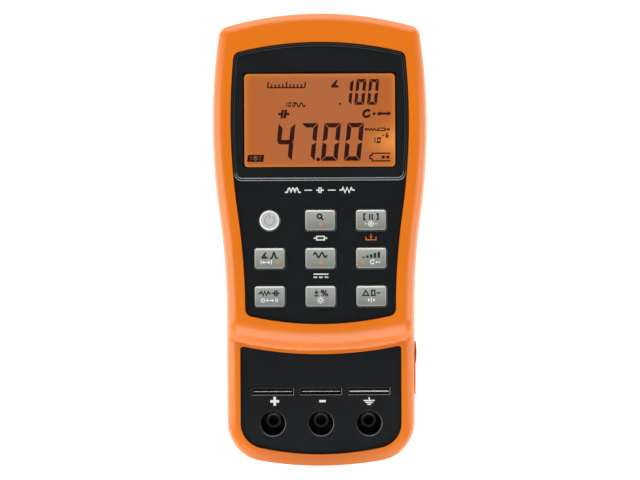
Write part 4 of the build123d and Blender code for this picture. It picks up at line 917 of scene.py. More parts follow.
@dataclass(frozen=True)
class Stroke:
    """One line or filled outline of a mark, in a frame where 1 is half of the mark's height."""

    points: tuple[Point, ...]
    closed: bool = False
    filled: bool = False


def line(*points: Point, closed: bool = False) -> Stroke:
    """Return straight runs through the points."""
    return Stroke(points, closed)


def fill(*points: Point) -> Stroke:
    """Return the filled outline through the points."""
    return Stroke(points, filled=True)


def bar(x: float, half: float, top: float = 1.0) -> Stroke:
    """Return a filled upright bar that stands on the mark's foot."""
    return fill((x - half, -1), (x + half, -1), (x + half, top), (x - half, top))


def curve(x: np.ndarray, y: np.ndarray, **kind: bool) -> Stroke:
    """Return one stroke through many points."""
    return Stroke(tuple(zip(x.tolist(), y.tolist())), **kind)


def graph(half: float, shape: Callable[[np.ndarray], np.ndarray], count: int = 49) -> Stroke:
    """Return the curve y = shape(x), for x from -half to half."""
    x = np.linspace(-half, half, count)
    return curve(x, shape(x))


def arc(x: float, y: float, radius: float, start: float = 0.0, sweep: float = 360.0) -> Stroke:
    """Return an arc: the centre plus radius times (cos, sin) of evenly spaced angles.

    Args:
        x: the centre.
        y: the centre.
        radius: the arc's radius.
        start: where it starts, in degrees from the right.
        sweep: how far it turns, in degrees.

    Returns:
        The arc, closed if it turns all the way.
    """
    whole = abs(sweep) >= 360
    angle = np.radians(start + np.linspace(0, sweep, 25)[:24 if whole else 25])
    return curve(x + radius * np.cos(angle), y + radius * np.sin(angle), closed=whole)


def dot(x: float, y: float, radius: float, around: int = 24) -> Stroke:
    """Return a filled circle."""
    angle = full_turn(around)
    return curve(x + radius * np.cos(angle), y + radius * np.sin(angle), filled=True)


def both(*strokes: Stroke) -> tuple[Stroke, ...]:
    """Return strokes mirrored to the left, and after them the strokes themselves."""
    return tuple(replace(s, points=tuple((-x, y) for x, y in s.points)) for s in strokes) + strokes


class Mark(Enum):
    """The generic signs on the display, keys and panels."""

    # A round lens and its handle.
    MAGNIFIER = (arc(-0.2, 0.25, 0.66), line((0.28, -0.24), (0.95, -0.9)))
    # Two upright bars between two end marks.
    PAUSE = (bar(-0.45, 0.24), bar(0.45, 0.24), *both(line((1.9, 1), (2.5, 1), (2.5, -1), (1.9, -1))))
    # A ring round a dot, with a short bar at each side.
    RECORD = (arc(0, 0, 0.9), dot(0, 0, 0.42), *both(line((1.5, 0), (2.3, 0))))
    # Two legs and the arc between them.
    ANGLE = (line((-1.0, -0.9), (1.1, -0.9)), line((-1.0, -0.9), (0.5, 1.0)), arc(-1.0, -0.9, 1.25, 0, 52))
    # A resonance peak: y = 2 exp(-(x / 0.42)^2) - 1.
    PEAK = (graph(1.4, lambda x: 2 * np.exp(-((x / 0.42) ** 2)) - 1, 29),)
    # A shaft with a head at both ends.
    DOUBLE_ARROW = (line((-1.1, 0), (1.1, 0)), *both(fill((1.95, 0), (1.0, 0.75), (1.0, -0.75))))
    # The same between two upright bars.
    LIMITS = (*DOUBLE_ARROW, *both(line((2.4, -1), (2.4, 1))))
    # Two periods of a sine: y = 0.85 sin(2 pi (x / 2.4 + 1)).
    WAVE = (graph(2.4, lambda x: 0.85 * np.sin(2 * np.pi * (x / 2.4 + 1))),)
    # Five bars, each taller than the one before.
    STAIRCASE = tuple(bar((step - 2) * 1.3, 0.42, -1 + 2 * (step + 1) / 5) for step in range(5))
    # A ring that ends in an arrow head, with two dots after it.
    CYCLE = (arc(-1.1, -0.05, 0.8, 70, 275), fill((-0.1, 0.75), (-1.0, 1.25), (-0.85, 0.2)),
             dot(0.7, -0.1, 0.36), dot(1.8, -0.1, 0.36))
    # Three humps, y = 1.5 |sin(pi (x + 0.65) / 1.3)| - 0.7, with a lead at each end.
    COIL = (line((-2.7, -0.7), *graph(1.95, lambda x: 1.5 * np.abs(np.sin(np.pi * (x + 0.65) / 1.3)) - 0.7).points,
                 (2.7, -0.7)),)
    # Two plates of a capacitor with their leads.
    PLATES = both(line((0.35, -1), (0.35, 1)), line((0.35, 0), (1.3, 0)))
    # A resistor's zigzag with a lead at each end.
    ZIGZAG = (line((-2.6, 0), (-1.75, 0), *((-1.4 + 0.7 * i, 0.85 * (-1) ** i) for i in range(5)),
                   (1.75, 0), (2.6, 0)),)
    # A resistor's box with a lead at each end.
    BOX_RESISTOR = (line((-1.2, -0.55), (1.2, -0.55), (1.2, 0.55), (-1.2, 0.55), closed=True),
                    *both(line((1.2, 0), (2.1, 0))))
    # A ring and a pair of plates with a double arrow between them.
    SERIES_ARROW = (*DOUBLE_ARROW, arc(-3.1, 0, 0.75), line((2.8, -0.85), (2.8, 0.85)),
                    line((3.5, -0.85), (3.5, 0.85)))
    # A ring with eight rays.
    SUN = (arc(0, 0, 0.42), *(
        line(*((reach * np.cos(turn), reach * np.sin(turn)) for reach in (0.66, 1.0))) for turn in full_turn(8)))
    # A plus over a minus, and a slanted bar between two rings.
    PLUS_MINUS_PERCENT = (
        line((-2.2, 0.25), (-0.8, 0.25)), line((-1.5, -0.45), (-1.5, 0.95)), line((-2.2, -0.9), (-0.8, -0.9)),
        line((0.6, -1), (1.9, 1)), arc(0.55, 0.55, 0.38), arc(1.95, -0.55, 0.38))
    # An open triangle, an upright box and a level line.
    DELTA_ZERO = (line((-2.9, -0.85), (-1.9, 0.85), (-0.9, -0.85), closed=True),
                  line((0.1, -0.85), (0.1, 0.85), (1.2, 0.85), (1.2, -0.85), closed=True),
                  line((1.8, 0.0), (3.0, 0.0)))
    # Two arrow heads that meet at an upright bar.
    BALANCE = (line((0, -1), (0, 1)), *both(fill((0.45, 0), (1.4, 0.7), (1.4, -0.7))))
    # A filled square standing on its corner.
    DIAMOND = (fill((0, 1), (1, 0), (0, -1), (-1, 0)),)
    # An arrow that points down into an open tray.
    STORE = (line((0, 1), (0, 0.1)), fill((0, -0.55), (0.6, 0.2), (-0.6, 0.2)),
             line((-1.7, 0.1), (-1.7, -0.9), (1.7, -0.9), (1.7, 0.1)))
    # A whole line above a broken one.
    DIRECT_CURRENT = (line((-2.4, 0.5), (2.4, 0.5)),
                      *(line((x, -0.5), (x + 1.2, -0.5)) for x in (-2.4, -0.6, 1.2)))
    # A stem over three level bars, each shorter than the one above.
    EARTH = (line((0, 1), (0, 0.1)), *(
        line((0.5 * step - 1.5, 0.1 - 0.5 * step), (1.5 - 0.5 * step, 0.1 - 0.5 * step)) for step in range(3)))
    # A ring broken at its top by an upright bar.
    STANDBY = (arc(0, 0, 0.85, 118, 304), line((0, 0.25), (0, 1.05)))
    # A round dial with two hands, and two bars at each side.
    CLOCK = (arc(0, 0, 0.8), line((0, 0.5), (0, 0), (0.4, -0.15)),
             *both(line((1.5, -0.5), (2.3, -0.5)), line((1.5, 0.5), (2.3, 0.5))))
    # A resistor and a boxed part in series between two rings.
    SERIES = (arc(0.3, 0, 0.32),
              line((0.65, 0), *((1.1 + 0.55 * i, 0.38 * (-1) ** i) for i in range(6)), (4.6, 0)),
              line((4.6, -0.45), (7.0, -0.45), (7.0, 0.45), (4.6, 0.45), closed=True),
              line((7.0, 0), (7.9, 0)), arc(8.3, 0, 0.32))
    # Slanted ticks of a bar graph, every fifth one taller, and their base line.
    TICKS = tuple(line((tick * 1.46, 0), (tick * 1.46 + reach * 0.12, reach))
                  for tick, reach in ((tick, 1.32 if tick % 5 else 2.2) for tick in range(11)))
    BASE_LINE = (line((0, 0), (14.6, 0)),)
    # A cell's outline, open at the full end, with two filled blocks.
    CELL = (line((8.0, 3.0), (0.9, 3.0), (0.9, 2.16), (0, 2.16), (0, 0.84), (0.9, 0.84), (0.9, 0), (8.0, 0)),
            *(fill((x, 0.9), (x + 1.25, 0.9), (x + 1.25, 2.1), (x, 2.1)) for x in (4.6, 6.4)))
    # A leaning plate that carries another sign.
    PLATE = (fill((0, 0), (6.4, 0), (6.7, 2.8), (0.3, 2.8)),)
    BIG_POINT = (dot(0, 0, 0.75, 20),)
    SMALL_POINT = (dot(0, 0, 0.45, 20),)
    DASH = (line((-1.5, 0), (1.5, 0)),)
    PLUS = (fill((-1, -0.29), (-0.29, -0.29), (-0.29, -1), (0.29, -1), (0.29, -0.29), (1, -0.29),
                 (1, 0.29), (0.29, 0.29), (0.29, 1), (-0.29, 1), (-0.29, 0.29), (-1, 0.29)),)
    MINUS = (line((-1, 0), (1, 0)),)


class Artwork:
    """Flat marks drawn as strokes and filled patches, and raised as one skin of ink.

    Strokes that cross differ in height by a few LAYERs, so that their tops don't coincide.
    """

    LAYER = 0.004

    def __init__(self) -> None:
        """Start with nothing drawn."""
        self._plans: list[tuple[np.ndarray, bool | None]] = []

    def draw(self, mark: Mark, x: float, y: float, size: float, weight: float = 0.0, slant: float = 0.0) -> None:
        """Draw a mark: its point (u, v) lands at (x, y) + (u + slant v, v) size / 2.

        Args:
            mark: what is drawn.
            x: its middle, in millimetres.
            y: its middle.
            size: its height. At 2 its own frame is in millimetres.
            weight: the width of its lines.
            slant: how far it leans to the right for each unit of height.
        """
        for stroke in mark.value:
            local = np.array(stroke.points, float)
            local[:, 0] += local[:, 1] * slant
            placed = np.array([x, y]) + local * size / 2
            if stroke.filled:
                self.patch(placed)
            else:
                self._trace(placed, weight, stroke.closed)

    def patch(self, outline: np.ndarray) -> None:
        """Fill an outline given by its corners in millimetres."""
        self._plans.append((outline, None))

    def _trace(self, points: np.ndarray, width: float, closed: bool) -> None:
        """Draw a line of even width.

        Its edges stand off by width * (a + b) / |a + b|^2, with a and b the unit normals of the
        runs before and after each point, which is half the width across either run.

        Args:
            points: the line's corners in millimetres, one row each.
            width: the width of the line.
            closed: whether the last point joins the first.
        """
        run = np.diff(np.vstack([points, points[:1]]) if closed else points, axis=0)
        run = run / np.linalg.norm(run, axis=1, keepdims=True)
        across = np.stack([-run[:, 1], run[:, 0]], axis=1)
        before = np.roll(across, 1, axis=0) if closed else np.vstack([across[:1], across])
        after = across if closed else np.vstack([across, across[-1:]])
        mitre = before + after
        mitre = mitre * width / np.maximum(np.sum(mitre**2, axis=1, keepdims=True), 0.8)
        self._plans.append((np.stack([points + mitre, points - mitre]), closed))

    def raise_ink(self, name: str, surface_z: float, finish: Finish, slot: str, body: str = CASE_BODY,
                  thickness: float = 0.02, sunk: float = 0.01) -> None:
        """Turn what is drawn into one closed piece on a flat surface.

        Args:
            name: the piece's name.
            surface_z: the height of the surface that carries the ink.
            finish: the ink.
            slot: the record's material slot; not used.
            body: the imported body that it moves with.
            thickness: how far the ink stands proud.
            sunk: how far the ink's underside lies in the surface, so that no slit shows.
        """
        vertices: list[np.ndarray] = []
        faces: list[Sequence[int]] = []
        count = 0
        for number, (plan, closed) in enumerate(self._plans):
            foot, top = surface_z - sunk, surface_z + thickness + number % 5 * self.LAYER
            if closed is None:
                rings, around = 2, len(plan)
                block = np.vstack([lifted(plan, foot), lifted(plan, top)])
            else:
                left, right = plan
                rings, around = len(left), 4
                block = np.stack([lifted(left, foot), lifted(right, foot), lifted(right, top), lifted(left, top)],
                                 axis=1).reshape(-1, 3)
            faces.extend(tube_faces(rings, around, count, bool(closed)))
            if not closed:
                faces.extend(end_faces(len(block), around, count))
            vertices.append(block)
            count += len(block)
        make_piece(name, np.vstack(vertices), faces, finish, slot, body)


# ---------------------------------------------------------------- display


@dataclass
class DigitSize:
    """The proportions of one seven-bar figure, in millimetres."""

    width: float
    height: float
    bar: float
    gap: float
    pitch: float
    slant_deg: float = 6.0

    BARS = {"0": "abcdef", "1": "bc", "4": "bcfg", "6": "acdefg", "7": "abc", "-": "g"}

    def outlines(self) -> dict[str, np.ndarray]:
        """Return each bar's outline, mitred at the corners and pointed at the middle."""
        w, h, t, g = self.width, self.height, self.bar, self.gap
        middle, tip = h / 2, g + t / 2
        top = np.array([(g, h), (w - g, h), (w - g - t, h - t), (g + t, h - t)])
        left = np.array([(0, h - g), (t, h - g - t), (t, middle + t / 2 + g), (0, middle + g)])
        cross = np.array([
            (g, middle), (tip, middle + t / 2), (w - tip, middle + t / 2),
            (w - g, middle), (w - tip, middle - t / 2), (tip, middle - t / 2),
        ])
        right = left * [-1, 1] + [w, 0]
        turned_over = {low: outline * [1, -1] + [0, h] for low, outline in zip("dec", (top, left, right))}
        return {"a": top, "f": left, "b": right, "g": cross, **turned_over}

    def draw(self, art: Artwork, figures: str, x: float, y: float) -> None:
        """Draw figures in a row from a lower left corner.

        A point of each outline is sheared to the right by its height times the slant's tangent.

        Args:
            art: what collects the marks.
            figures: digits and minus signs.
            x: left side of the first figure.
            y: foot of the figures.
        """
        bars = self.outlines()
        lean = math.tan(math.radians(self.slant_deg))
        for place, figure in enumerate(figures):
            for outline in (bars[name] for name in self.BARS[figure]):
                sheared = np.column_stack([outline[:, 0] + outline[:, 1] * lean, outline[:, 1]])
                art.patch(sheared + np.array([x + place * self.pitch, y]))


@dataclass
class Display:
    """The lit panel, its segments and the printed border of the window over it."""

    view_half: Point = (29.6, 18.3)
    ink: float = 0.02
    border_margin: float = 0.05
    border_inset: float = 0.12
    border_depth: float = 0.12
    corner_power: float = 90.0
    shadow_line_w: float = 0.5
    big: DigitSize = field(default_factory=lambda: DigitSize(6.6, 14.9, 1.75, 0.18, 9.02))
    small: DigitSize = field(default_factory=lambda: DigitSize(3.9, 10.1, 1.25, 0.14, 5.02))
    tiny: DigitSize = field(default_factory=lambda: DigitSize(1.15, 1.85, 0.44, 0.0, 1.6))
    unit: DigitSize = field(default_factory=lambda: DigitSize(1.5, 2.3, 0.56, 0.0, 2.05))

    def build(self) -> None:
        """Light the panel, and lay the segments and the border over it."""
        low, high = node_box("lcd_panel")
        centre = (low + high)[:2] / 2
        dress("lcd_panel", LitFinish(
            "backlit_liquid_crystal_amber", "B4673C", "B8642D", 0.5, 0.8, 0.001, 9.0, specular=0.1,
            centre=tuple(centre), half_size=self.view_half,
        ))
        self.segments(high[2])
        self.border(centre)

    def segments(self, top: float) -> None:
        """Draw the reading and the small generic signs round it.

        Args:
            top: the height of the panel's face.
        """
        art = Artwork()
        self.big.draw(art, "4", -17.7, 31.0)
        self.big.draw(art, "7", -8.7, 31.0)
        self.big.draw(art, "00", 0.3, 31.0)
        art.draw(Mark.BIG_POINT, -0.65, 31.6, 2.0)
        self.small.draw(art, "100", 8.55, 53.0)
        art.draw(Mark.SMALL_POINT, 8.1, 53.45, 2.0)
        self.tiny.draw(art, "100", -14.0, 52.3)
        for mark, x, y, size, weight, slant in (
            (Mark.WAVE, -7.7, 53.1, 1.7, 0.48, 0.0), (Mark.BASE_LINE, -20.4, 59.9, 2.0, 0.5, 0.0),
            (Mark.TICKS, -20.4, 59.9, 2.0, 0.58, 0.0), (Mark.ANGLE, 6.2, 61.4, 2.7, 0.78, 0.1),
            (Mark.PLATES, -14.1, 49.5, 3.4, 0.98, 0.15), (Mark.CYCLE, 20.3, 49.6, 3.2, 0.98, 0.12),
            (Mark.DOUBLE_ARROW, 25.5, 49.5, 2.7, 0.92, 0.12), (Mark.SERIES, 17.9, 43.3, 2.2, 0.42, 0.0),
        ):
            art.draw(mark, x, y, size, weight, slant)
        self.unit.draw(art, "10", 20.3, 37.9)
        self.tiny.draw(art, "-6", 24.3, 40.0)
        art.draw(Mark.CELL, 19.7, 30.9, 2.0, 0.52)
        art.draw(Mark.PLATE, -28.6, 30.7, 2.0)
        art.raise_ink("display_segments", top, SEGMENT, "lcd_glass")
        label = Artwork()
        label.draw(Mark.CLOCK, -25.3, 32.1, 1.9, 0.26)
        label.raise_ink("display_timer_sign", top + self.ink, LCD_CLEAR, "lcd_glass")

    def border(self, centre: np.ndarray) -> None:
        """Print the dark border on the film that is laminated into the window's face, with a black band
        of painted shadow along its inner edge.

        The border lies between two rings of points: the window's own outline and a rounded
        rectangle a little larger than the view, the superellipse |x / a|^n + |y / b|^n = 1 whose
        power n is high enough for a small corner.

        Args:
            centre: the middle of the view.
        """
        outline, face = window_outline(centre)
        angle = np.linspace(-np.pi, np.pi, 480, endpoint=False)
        heading = np.column_stack([np.cos(angle), np.sin(angle)])
        outer = self._reach(outline - centre, angle) - self.border_inset
        share = np.abs(heading / (np.array(self.view_half) + self.border_margin))
        inner = np.sum(share**self.corner_power, axis=1) ** (-1 / self.corner_power)
        top = face - self.border_depth
        # The second ring is painted shadow: a black band where the window's edge shades the view.
        for name, outside, level, finish in (
            ("window_border_print", outer, top, WINDOW_INK),
            ("window_border_painted_shadow", inner + self.shadow_line_w, top + self.ink, PAINTED_SHADE_BLACK),
        ):
            rings = [
                lifted(centre + heading * reach[:, None], z)
                for reach, z in ((outside, level - self.ink), (outside, level), (inner, level),
                                 (inner, level - self.ink))
            ]
            make_piece(name, np.vstack(rings), tube_faces(4, len(angle), closed=True), finish, "clear_window")

    def _reach(self, corners: np.ndarray, angle: np.ndarray) -> np.ndarray:
        """Return how far out a polygon's side lies at each angle.

        On the side between corners at angles a and b with reaches p and q, the reach at angle t
        is p q sin(b - a) / (p sin(t - a) + q sin(b - t)).

        Args:
            corners: the polygon's corners about the centre, in order.
            angle: where the reach is wanted.

        Returns:
            The reach at each angle.
        """
        known, far = np.arctan2(corners[:, 1], corners[:, 0]), np.hypot(*corners.T)
        after = np.searchsorted(known, angle) % len(known)
        before = (after - 1) % len(known)
        turn = (known[after] - known[before]) % (2 * np.pi)
        into = (angle - known[before]) % (2 * np.pi)
        p, q = far[before], far[after]
        return p * q * np.sin(turn) / (p * np.sin(into) + q * np.sin(turn - into))


@dataclass
class WindowRim:
    """Two fine beads on the raised rim round the window."""

    bead_r: float = 0.19
    offsets: Point = (0.08, 0.92)
    rim_h: float = 0.1
    around: int = 10

    def build(self) -> None:
        """Carry a small ring of points round the window's outline, once for each bead.

        At each corner c of the outline the point is c + (d + r cos t) n + r sin t z, with n the
        outward direction and d the bead's distance outside the window.
        """
        edge, top = window_outline(np.sum(node_box("display_window"), axis=0) / 2)
        run = np.roll(edge, -1, axis=0) - np.roll(edge, 1, axis=0)
        outward = np.column_stack([run[:, 1], -run[:, 0]]) / np.linalg.norm(run, axis=1, keepdims=True)
        turn = full_turn(self.around)
        for number, offset in enumerate(self.offsets, 1):
            reach = offset + self.bead_r * np.cos(turn)
            flat = edge[:, None, :] + outward[:, None, :] * reach[None, :, None]
            height = np.broadcast_to(top + self.rim_h + self.bead_r * np.sin(turn), flat.shape[:2])
            rings = np.concatenate([flat, height[..., None]], axis=-1)
            # The beads' finish carries a painted highlight along the side nearest the keys.
            make_piece(f"window_rim_bead_{number}", rings.reshape(-1, 3),
                       tube_faces(len(edge), self.around, closed=True), EDGE_PAINTED_HIGHLIGHT, "charcoal_plastic",
                       smooth_deg=60)


# ---------------------------------------------------------------- keys and panels


@dataclass
class Keypad:
    """The nine keys' printed marks, each of which moves with its key."""

    upper: float = 1.25
    lower: float = -1.5
    dark: float = 0.62
    fine: float = 0.34

    def legends(self) -> dict[str, tuple[tuple, ...]]:
        """Return the marks of every key: sign, x, y, height, weight and ink."""
        up, low, dark, fine = self.upper, self.lower, self.dark, self.fine
        return {
            "identify": ((Mark.MAGNIFIER, 0.0, up, 2.5, 0.62, INK_DARK),
                         (Mark.DIAMOND, 0.2, low, 1.7, fine, INK_KEY_ORANGE)),
            "hold": ((Mark.PAUSE, 0.0, up, 2.2, 0.56, INK_DARK),
                     (Mark.RECORD, 0.0, low, 2.1, fine, INK_KEY_WHITE)),
            "quality": ((Mark.ANGLE, -1.9, up, 2.2, dark, INK_DARK), (Mark.PEAK, 1.7, up, 2.2, dark, INK_DARK),
                        (Mark.LIMITS, -1.3, low, 1.7, fine, INK_KEY_WHITE),
                        (Mark.DIAMOND, 3.3, low, 1.6, fine, INK_KEY_ORANGE)),
            "frequency": ((Mark.WAVE, 0.0, up, 2.2, 0.64, INK_DARK),
                          (Mark.DIAMOND, 0.0, low, 1.7, fine, INK_KEY_ORANGE)),
            "range": ((Mark.STAIRCASE, 0.0, up, 2.3, dark, INK_DARK),
                      (Mark.DIAMOND, -3.6, low, 1.6, fine, INK_KEY_ORANGE),
                      (Mark.CYCLE, 1.5, low, 1.9, fine, INK_KEY_WHITE)),
            "function": ((Mark.ZIGZAG, -1.9, up, 1.9, 0.56, INK_DARK), (Mark.PLATES, 2.4, up, 2.2, 0.62, INK_DARK),
                         (Mark.SERIES_ARROW, 0.0, low, 1.7, fine, INK_KEY_WHITE)),
            "tolerance": ((Mark.PLUS_MINUS_PERCENT, 0.1, up, 2.3, 0.52, INK_DARK),
                          (Mark.SUN, 0.0, low, 2.9, fine, INK_KEY_WHITE)),
            "null": ((Mark.DELTA_ZERO, 0.0, up, 2.3, 0.52, INK_DARK),
                     (Mark.BALANCE, 0.0, low, 1.9, fine, INK_KEY_WHITE)),
            "power": ((Mark.STANDBY, 0.0, 0.0, 4.4, 0.3, INK_PALE_GREY),),
        }

    def build(self) -> None:
        """Print every key, one piece for each ink."""
        for key, marks in self.legends().items():
            low, high = node_box(f"key_{key}")
            middle = (low + high) / 2
            by_ink: dict[Finish, Artwork] = {}
            for mark, x, y, height, weight, ink in marks:
                art = by_ink.setdefault(ink, Artwork())
                art.draw(mark, middle[0] + x, middle[1] + y, height, weight)
            slot = "key_white" if key == "power" else "key_grey"
            for number, (ink, art) in enumerate(by_ink.items(), 1):
                art.raise_ink(f"key_{key}_print_{number}", high[2], ink, slot, f"key_{key}")


@dataclass
class KeyWebs:
    """The silicone collars that spring the keys."""

    flare: float = 1.0
    wall: float = 0.7
    corner: float = 1.0
    travel: float = 0.9
    steps: int = 9

    def _outline(self, half: np.ndarray, corner: float) -> np.ndarray:
        """Return a rounded rectangle about its centre.

        Each point is its corner's own centre plus corner times (cos, sin) of an angle through
        that quarter.

        Args:
            half: half of its width and height.
            corner: the radius of its corners.

        Returns:
            The points, one row each.
        """
        quarter = np.linspace(0, np.pi / 2, self.steps)
        angle = np.concatenate([quarter + turn * np.pi / 2 for turn in range(4)])
        signs = np.repeat(np.array([(1, 1), (-1, 1), (-1, -1), (1, -1)]), self.steps, axis=0)
        return signs * (half - corner) + corner * np.column_stack([np.cos(angle), np.sin(angle)])

    def build(self) -> None:
        """Replace each packed collar by one that keeps its foot on the mat and loses the travel."""
        for key in KEYS:
            low, high = node_box(f"web_{key}")
            centre, half = (low + high)[:2] / 2, (high - low)[:2] / 2
            corner = half[0] if key == "power" else self.corner + self.flare
            rings = [
                lifted(centre + self._outline(half - inset, corner - inset), z)
                for inset, z in ((0.0, low[2]), (self.flare, high[2]), (self.flare + self.wall, high[2]),
                                 (self.wall, low[2]))
            ]
            web = make_piece(f"silicone_web_{key}", np.vstack(rings),
                             tube_faces(4, 4 * self.steps, closed=True), SILICONE, "grey_silicone",
                             smooth_deg=40)
            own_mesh(web)
            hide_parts(f"web_{key}")


@dataclass
class PanelPrints:
    """White and orange marks printed on the two charcoal panels."""

    jack_pitch: float = 19.05
    title_y: float = 19.4
    sign_y: float = -63.8

    def build(self) -> None:
        """Print both panels, each at the height of its own face."""
        panel_z, deck_z = (
            surface_at("front_case", (0.0, y, 1 / MM), (0, 0, -1))[2] for y in (self.title_y, self.sign_y)
        )
        panel, orange, deck = Artwork(), Artwork(), Artwork()
        for art, mark, x, y, size, weight in (
            (panel, Mark.COIL, -10.6, self.title_y, 2.3, 0.5), (panel, Mark.PLATES, 0.0, self.title_y, 2.3, 0.5),
            (panel, Mark.ZIGZAG, 10.6, self.title_y, 2.3, 0.5), (panel, Mark.DASH, -4.6, self.title_y, 2.0, 0.42),
            (panel, Mark.DASH, 4.6, self.title_y, 2.0, 0.42), (panel, Mark.BOX_RESISTOR, 0.1, 0.6, 2.5, 0.5),
            (panel, Mark.DIRECT_CURRENT, 0.2, -14.1, 2.4, 0.5), (orange, Mark.STORE, 19.85, 0.9, 2.3, 0.46),
            (deck, Mark.PLUS, -18.3, self.sign_y, 3.5, 1.0), (deck, Mark.MINUS, 0.6, self.sign_y, 2.6, 0.9),
            (deck, Mark.EARTH, self.jack_pitch, self.sign_y, 2.9, 0.5),
        ):
            art.draw(mark, x, y, size, weight)
        panel.raise_ink("key_panel_print", panel_z, INK_WHITE, "charcoal_plastic")
        orange.raise_ink("key_panel_store_sign", panel_z, INK_ORANGE, "charcoal_plastic")
        deck.raise_ink("terminal_panel_print", deck_z, INK_WHITE, "charcoal_plastic")


# ---------------------------------------------------------------- terminals and inlet


@dataclass
class Terminals:
    """What shows in the sockets and lead slots: washers, slot guides and the contacts' lips."""

    seal_inner: float = 3.0
    seal_outer: float = 4.8
    seal_t: float = 0.25
    seal_edge: float = 0.06
    collar_drop: float = 0.3
    guide_half: Point = (8.02, 1.12)
    mouth_half: Point = (7.78, 0.62)
    mouth_flare: float = 0.15
    guide_t: float = 0.4
    guide_over_tips: float = 0.06
    lip_half: float = 7.55
    lip_r: float = 0.14
    lip_sunk: float = 0.02
    guard_lip_r: float = 0.29
    rim_r: float = 2.82
    rim_wire: float = 0.13

    def _seal(self, name: str) -> None:
        """Lay a black washer on a socket's collar, with its upper edges broken.

        Args:
            name: which terminal.
        """
        inner, outer, cut = self.seal_inner, self.seal_outer, self.seal_edge
        low, high = node_box(f"jack_{name}")
        foot = high[2] - self.collar_drop
        top = foot + self.seal_t
        profile = ((inner, foot), (outer, foot), (outer, top - cut), (outer - cut, top),
                   (inner + cut, top), (inner, top - cut))
        make_piece(f"socket_seal_{name}", *turned(profile, (low + high) / 2), BLACK_PA, "black_plastic",
                   smooth_deg=40)

    def _rim(self, name: str) -> None:
        """Turn a fine bead on a sleeve's mouth: an octagon carried round the bore.

        Args:
            name: which terminal.
        """
        angle = np.radians(np.arange(0, 360, 45) + 22.5)
        low, high = node_box(f"jack_{name}")
        profile = np.column_stack([
            self.rim_r + self.rim_wire * np.cos(angle), high[2] + self.rim_wire * np.sin(angle),
        ])
        # The bead's pale matt finish is a painted highlight on the socket's mouth.
        make_piece(f"socket_rim_{name}", *turned(profile, (low + high) / 2), SOCKET_MOUTH_HIGHLIGHT, "gilt_brass",
                   smooth_deg=60)

    def _guide(self, name: str) -> None:
        """Set a black frame over a contact, whose mouth leads a wire in between the leaves. Its dead black
        is painted shade, so that the slot reads as a deep hole.

        The frame is four rings of corners, outside low, outside high, mouth high and mouth low,
        where the mouth narrows downwards.

        Args:
            name: which terminal.
        """
        corners = np.array([(-1, -1), (1, -1), (1, 1), (-1, 1)])
        outer, mouth = np.array(self.guide_half), np.array(self.mouth_half)
        low, high = node_box(f"contact_{name}")
        foot = high[2] + self.guide_over_tips
        top = foot + self.guide_t
        rings = [
            lifted((low + high)[:2] / 2 + corners * half, z)
            for half, z in ((outer, foot), (outer, top), (mouth + self.mouth_flare, top), (mouth, foot))
        ]
        # Dead black: painted shade in the slot.
        make_piece(f"slot_guide_{name}", np.vstack(rings), tube_faces(4, 4, closed=True), PAINTED_SHADE_BLACK,
                   "black_plastic")

    def _lip(self, name: str) -> None:
        """Roll a contact's tips up into the mouth, where they show as one bright line.

        The lip is a rod along X with domed ends, whose ring at angle a has the radius r cos a and
        stands r sin a beyond the end, with a from 0 to nearly 90 degrees.

        Args:
            name: which terminal.
        """
        around, radius = 16, self.guard_lip_r if name == "guard" else self.lip_r
        low, high = node_box(f"contact_{name}")
        x, y, _ = (low + high) / 2
        bow = np.radians(np.array([88.0, 60.0, 30.0, 0.0]))
        reach = self.lip_half + radius * np.sin(bow)
        ring_x = np.concatenate([x - reach, x + reach[::-1]])
        ring_r = radius * np.cos(np.concatenate([bow, bow[::-1]]))
        turn = full_turn(around)
        rings = np.stack([
            np.repeat(ring_x[:, None], around, axis=1),
            y + np.outer(ring_r, np.cos(turn)),
            high[2] - self.lip_sunk + np.outer(ring_r, np.sin(turn)),
        ], axis=-1).reshape(-1, 3)
        faces = [*tube_faces(len(ring_x), around), *end_faces(len(rings), around)]
        make_piece(f"contact_lip_{name}", rings, faces, SCRAPED_NICKEL, "spring_bronze", smooth_deg=50)

    def build(self) -> None:
        """Fit out the three sockets and slots."""
        for fit in (self._seal, self._rim, self._guide, self._lip):
            for name in TERMINALS:
                fit(name)


@dataclass
class InletBezel:
    """A black ring set on the pad round the power inlet, at the right side of the case."""

    inner_r: float = 3.5
    outer_r: float = 4.5
    edge: float = 0.12
    proud: float = 0.45
    sunk: float = 0.1
    seat_in: float = 0.3
    around: int = 64

    def build(self) -> None:
        """Carry the ring's section round the inlet's axis, which runs along x.

        The point at angle t is (x, y + r cos t, z + r sin t). The ring leans with the pad: x is
        read off the pad above and below the hole.
        """
        low, high = node_box("dc_inlet_pin")
        _, y, z = (low + high) / 2
        upper, lower = (
            surface_at(node, (1 / MM, y, z + side * (self.outer_r - self.seat_in)), (-1, 0, 0))[0]
            for node, side in (("front_overmould", 1), ("rear_overmould", -1))
        )
        turn = full_turn(self.around)
        inner, outer, cut = self.inner_r, self.outer_r, self.edge
        rings = [
            np.column_stack([np.where(radius * np.sin(turn) > 0, upper, lower) + out,
                             y + radius * np.cos(turn), z + radius * np.sin(turn)])
            for radius, out in (
                (inner, -self.sunk), (outer, -self.sunk), (outer, self.proud - cut),
                (outer - cut, self.proud), (inner + cut, self.proud), (inner, self.proud - cut),
            )
        ]
        make_piece("dc_inlet_bezel", np.vstack(rings), tube_faces(len(rings), self.around, closed=True),
                   BLACK_PA, "black_plastic", smooth_deg=35)


# ---------------------------------------------------------------- screws


